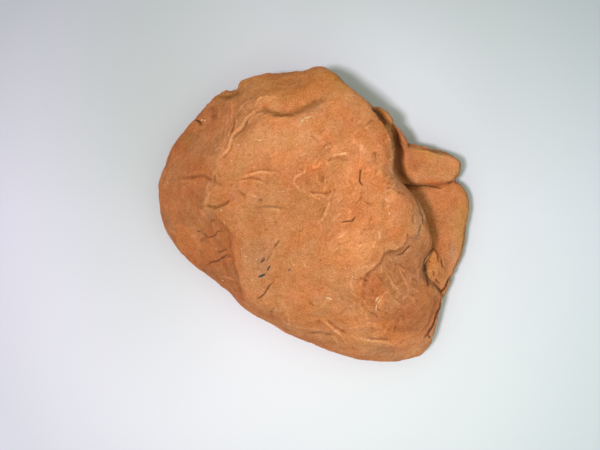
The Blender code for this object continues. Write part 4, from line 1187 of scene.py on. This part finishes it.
def add_specks(tree, place, tint, spacing, radius, left_out, speck_tint):
    """The tint with small round specks, some of them left out."""
    inputs = {"Vector": place, "Scale": 1.0 / (spacing * MM)}
    cells = make_node(tree, "ShaderNodeTexVoronoi", inputs).outputs
    inside = calculate(tree, "LESS_THAN", cells["Distance"], radius)
    lot = make_node(tree, "ShaderNodeSeparateColor", {0: cells["Color"]}).outputs[0]
    chosen = calculate(tree, "GREATER_THAN", lot, left_out)
    share = calculate(tree, "MULTIPLY", inside, chosen)
    return calculate(tree, "MULTIPLY_ADD", share, speck_tint, tint)


def streak_value(tree, place):
    """The output of fine parallel streaks, -1 to 1."""
    axes = make_node(tree, "ShaderNodeSeparateXYZ", {0: place}).outputs
    turns_per_metre = 2.0 * math.pi / (STREAK_SPACING * MM)
    x_share = math.cos(math.radians(STREAK_TURN)) * turns_per_metre
    y_share = math.sin(math.radians(STREAK_TURN)) * turns_per_metre
    across = calculate(tree, "MULTIPLY", axes["X"], x_share)
    across = calculate(tree, "MULTIPLY_ADD", axes["Y"], y_share, across)
    wander = noise_value(tree, place, STREAK_WANDER, BROAD_DETAIL)
    across = calculate(tree, "MULTIPLY_ADD", wander, 2.0 * math.pi, across)
    return calculate(tree, "SINE", across)


def new_material(name, roughness):
    """A dull material, its node tree, its shader and the place on the object."""
    material = bpy.data.materials.new(name)
    material.use_nodes = True
    tree = material.node_tree
    shader = tree.nodes["Principled BSDF"]
    set_inputs(tree, shader, {
        "Roughness": roughness,
        "Specular IOR Level": SPECULAR,
        "Diffuse Roughness": DIFFUSE_ROUGHNESS,
    })
    return material, tree, shader, make_node(tree, "ShaderNodeTexCoord").outputs["Object"]


def stone_material():
    """Dull orange-brown stone, mottled all over: paler on crests and browner in hollows, as
    painted highlight and painted shade, and darkest in cracks and pits, as painted shade.
    """
    material, tree, shader, place = new_material("stone", STONE_ROUGHNESS)
    streaked = attribute_value(tree, "streaks")
    streaks = calculate(tree, "MULTIPLY", streak_value(tree, place), streaked)
    tint = calculate(tree, "MULTIPLY_ADD", streaks, STREAK_TINT, attribute_value(tree, "tint"))
    for speck in SPECKS:
        tint = add_specks(tree, place, tint, *speck)
    colour = colour_ramp(tree, tint, STONE_COLOURS)
    mottle = 0.5
    for length, strength, swirl in MOTTLING:
        wave = calculate(tree, "SUBTRACT", noise_value(tree, place, length, swirl=swirl), 0.5)
        mottle = calculate(tree, "MULTIPLY_ADD", wave, strength, mottle)
    darkest, palest = (tuple(1.0 + way * swing for swing in MOTTLE_SWING) for way in (-1.0, 1.0))
    mottle = mix_colours(tree, "MIX", mottle, darkest, palest)
    colour = mix_colours(tree, "MULTIPLY", 1.0, colour, mottle)
    for length, contrast, hue in HUES:
        wave = calculate(tree, "SUBTRACT", noise_value(tree, place, length, BROAD_DETAIL), 0.5)
        share = calculate(tree, "MULTIPLY_ADD", wave, contrast, 0.5, clamp=True)
        colour = mix_colours(tree, "MULTIPLY", share, colour, hue)
    # Stains, painted shade and painted light from the patches, regions and bands
    colour = mix_colours(tree, "MULTIPLY", 1.0, colour, attribute_value(tree, "stain_shade_and_light", "Color"))
    # Painted shade in cracks and pits
    colour = mix_colours(tree, "MIX", attribute_value(tree, "crack_and_pit_shade"), colour, CRACK_SHADE_COLOUR)
    set_inputs(tree, shader, {"Base Color": colour, "Normal": grain_normal(tree, place)})
    return material


def strip_material(name, colour):
    """A dull material of one mottled colour."""
    material, tree, shader, place = new_material(name, STONE_ROUGHNESS)
    darker = tuple(STRIP_SHADE * channel for channel in colour)
    share = noise_value(tree, place, STRIP_MOTTLE)
    set_inputs(tree, shader, {"Base Color": mix_colours(tree, "MIX", share, colour, darker)})
    return material


def paper_material():
    """Pale paper with painted light and shade: darker towards the back near the lump and far out,
    as a painted falloff of the light, tinted from left to right by painted light, and with a
    painted shadow in one oval and a painted pool of light in the other."""
    material, tree, shader, place = new_material("paper", 1.0)
    axes = make_node(tree, "ShaderNodeSeparateXYZ", {0: place}).outputs
    away = calculate_vector(tree, "LENGTH", place)
    forward = calculate(tree, "DIVIDE", axes["Y"], -GRADIENT_REACH * MM)
    forward = calculate(tree, "MINIMUM", calculate(tree, "MAXIMUM", forward, -1.0), 1.0)
    near = fade_out(tree, away, *(reach * MM for reach in GRADIENT_RANGE))
    colour = colour_ramp(tree, calculate(tree, "MULTIPLY", forward, near), PAPER_FALLOFF_COLOURS)
    reach = calculate(tree, "DIVIDE", away, DIMMED_FROM * MM)
    dimmed = calculate(tree, "MULTIPLY", reach, reach, clamp=True)
    colour = mix_colours(tree, "MULTIPLY", dimmed, colour, DIMMED_COLOUR)
    side_slope = 0.5 / (SIDE_REACH * MM)
    rightward = calculate(tree, "MULTIPLY_ADD", axes["X"], side_slope, 0.5, clamp=True)
    sides = mix_colours(tree, "MIX", rightward, LEFT_LIGHT_COLOUR, RIGHT_LIGHT_COLOUR)
    colour = mix_colours(tree, "MULTIPLY", 1.0, colour, sides)
    for oval, shade in ((SHADED_OVAL, SHADED_COLOUR), (LIT_OVAL, LIT_COLOUR)):
        colour = mix_colours(tree, "MULTIPLY", oval_share(tree, place, *oval), colour, shade)
    set_inputs(tree, shader, {"Base Color": colour})
    return material


def finish_piece(piece, material):
    """Gives a piece its material and the body that it rides on."""
    piece.data.materials.clear()
    piece.data.materials.append(material)
    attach(piece, "root")


def build_skin(material):
    """The whole lump's skin, in place of the solid."""
    skin = fine_copy_of_solid()
    points, normals = read_points(skin)
    place_points(skin, ease_top(points + normals * stone_relief(points, normals)[:, None]))
    relax(skin, FINAL_SMOOTHING_ROUNDS)
    thin_out(skin)
    keep_in_box(skin)
    paint_skin(skin)
    skin.data.shade_smooth()
    finish_piece(skin, material)
    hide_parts("shale")
    return skin


def surface_of(skin):
    """The skin as something that rays can be sent to, in millimetres."""
    points, _ = read_points(skin)
    return BVHTree.FromPolygons(points.tolist(), [face.vertices for face in skin.data.polygons])


def on_skin(surface, place):
    """The point of the skin that the camera sees at a place in the plan, and its normal."""
    eye = Vector((*CAMERA_XY, CAMERA_HEIGHT))
    goal = Vector((place[0] + PLAN_ORIGIN[0], place[1] + PLAN_ORIGIN[1], PLAN_HEIGHT))
    point, normal, _, _ = surface.ray_cast(eye, (goal - eye).normalized())
    return point, normal


def add_strip(bm, surface, path, half_width, thickness):
    """A thin strip along a path, pointed at both ends and half sunk into the skin."""
    spine = smooth_path(path)
    spans = np.linalg.norm(np.diff(spine, axis=0), axis=1)
    reached = np.concatenate([[0.0], np.cumsum(spans)])
    ring_count = max(STRIP_RINGS, round(reached[-1] / STRIP_SPACING))
    stops = np.linspace(0.0, reached[-1], ring_count)
    spine = np.column_stack([np.interp(stops, reached, column) for column in spine.T])
    hits = [on_skin(surface, place) for place in spine]
    first, last = (bm.verts.new(hits[end][0] * MM) for end in (0, -1))
    rings = []
    for i in range(1, ring_count - 1):
        point, normal = hits[i]
        aside = (hits[i + 1][0] - hits[i - 1][0]).cross(normal).normalized()
        share = math.sin(math.pi * i / (ring_count - 1)) ** STRIP_POINT
        left, right = (
            half_width * share * random.uniform(1 - STRIP_JITTER, 1 + STRIP_JITTER)
            for _ in range(2)
        )
        rise = normal * thickness * share
        corners = (point - aside * left, point + rise, point + aside * right, point - rise)
        rings.append([bm.verts.new(corner * MM) for corner in corners])
    sides = range(4)
    for ring, following in zip(rings, rings[1:]):
        for k in sides:
            bm.faces.new((ring[k], ring[k - 1], following[k - 1], following[k]))
    for k in sides:
        bm.faces.new((first, rings[0][k - 1], rings[0][k]))
        bm.faces.new((last, rings[-1][k], rings[-1][k - 1]))


def build_strips(name, surface, strips, thickness, material):
    """A piece made of strips that lie on the skin."""
    bm = bmesh.new()
    for path, half_width in strips:
        add_strip(bm, surface, path, half_width, thickness)
    bmesh.ops.recalc_face_normals(bm, faces=bm.faces)
    piece = new_mesh_object(name, bm)
    keep_in_box(piece)
    finish_piece(piece, material)


def shaded_crack_cores():
    """The dark middles of the darker cracks, strips of painted shade, as paths and half widths."""
    for path, half_width, _, darkness in CRACKS:
        if darkness >= CORE_FROM:
            drawn = smooth_path(path)
            yield 2.0 * drawn - wandered(drawn, WANDER), CORE_SHARE * darkness * half_width


def build_crumbs(surface, material):
    """Loose crumbs, partly sunk into the skin."""
    bm = bmesh.new()
    for place, half_axes, turn in CRUMBS:
        point, normal = on_skin(surface, place)
        placed = Matrix.Translation((point - normal * half_axes[2] * CRUMB_SUNK) * MM)
        turned = normal.to_track_quat("Z", "Y").to_matrix().to_4x4()
        turned @= Matrix.Rotation(math.radians(turn), 4, "Z")
        scaled = Matrix.Diagonal((*(axis * MM for axis in half_axes), 1.0))
        ball = bmesh.ops.create_icosphere(bm, subdivisions=CRUMB_DETAIL, radius=1.0)
        shift = Vector((*place, 0.0))
        for vert in ball["verts"]:
            lump = noise.fractal(vert.co * CRUMB_WAVES + shift, NOISE_FALL, NOISE_STEP, 2)
            vert.co *= 1.0 + CRUMB_ROUGHNESS * lump
            vert.co = placed @ turned @ scaled @ vert.co
    crumbs = new_mesh_object("shale_crumbs", bm)
    keep_in_box(crumbs)
    number = len(crumbs.data.vertices)
    paint(crumbs, "tint", np.full(number, CRUMB_TINT))
    paint_colour(crumbs, "stain_shade_and_light", np.tile(OCHRE, (number, 1)))
    crumbs.data.shade_smooth()
    finish_piece(crumbs, material)


def build_floor():
    """The sheet of paper that the lump lies on."""
    bm = bmesh.new()
    bmesh.ops.create_grid(bm, x_segments=1, y_segments=1, size=FLOOR_SIZE / 2 * MM)
    floor = new_mesh_object("floor", bm)
    floor.data.materials.append(paper_material())


def build_lights():
    """One soft key light, nearly overhead and a little from the left and the front, and a fill
    that is brightest overhead."""
    sun = bpy.data.lights.new("key", "SUN")
    sun.color = KEY_COLOUR
    sun.energy = KEY_STRENGTH
    sun.angle = math.radians(KEY_SIZE)
    key = bpy.data.objects.new("key", sun)
    key.rotation_mode = "QUATERNION"
    key.rotation_quaternion = Vector(KEY_DIRECTION).to_track_quat("-Z", "Y")
    bpy.context.scene.collection.objects.link(key)
    world = bpy.data.worlds.new("fill")
    world.use_nodes = True
    tree = world.node_tree
    direction = make_node(tree, "ShaderNodeTexCoord").outputs["Generated"]
    towards = calculate_vector(tree, "DOT_PRODUCT", direction, FILL_AIM)
    focused = calculate(tree, "POWER", calculate(tree, "MAXIMUM", towards, 0.0), FILL_FOCUS)
    strength = calculate(tree, "MULTIPLY_ADD", focused, FILL_OVERHEAD, FILL_AROUND)
    set_inputs(tree, tree.nodes["Background"], {"Color": FILL_COLOUR, "Strength": strength})
    bpy.context.scene.world = world
    bpy.context.scene.view_settings.view_transform = "Standard"


def build_camera():
    """Straight above the lump, with the field that the photograph has."""
    lens = bpy.data.cameras.new("camera")
    lens.sensor_width = SENSOR_WIDTH
    lens.lens = SENSOR_WIDTH * (CAMERA_HEIGHT - PLAN_HEIGHT) / FIELD_WIDTH
    lens.clip_start, lens.clip_end = (distance * MM for distance in CAMERA_RANGE)
    camera = bpy.data.objects.new("camera", lens)
    camera.location = Vector((*CAMERA_XY, CAMERA_HEIGHT)) * MM
    bpy.context.scene.collection.objects.link(camera)
    bpy.context.scene.camera = camera


random.seed(SEED)
build_camera()
build_lights()
build_floor()
stone = stone_material()
surface = surface_of(build_skin(stone))
fleck = strip_material("fleck", FLECK_COLOUR)
build_strips("shale_flecks", surface, FLECKS, FLECK_THICKNESS, fleck)
sliver = strip_material("sliver", SLIVER_COLOUR)
build_strips("shale_slivers", surface, SLIVERS, SLIVER_THICKNESS, sliver)
# Dark strips of painted shade in the darker cracks
core = strip_material("crack", CRACK_SHADE_CORE_COLOUR)
build_strips("shale_crack_shade", surface, shaded_crack_cores(), CORE_THICKNESS, core)
build_crumbs(surface, stone)
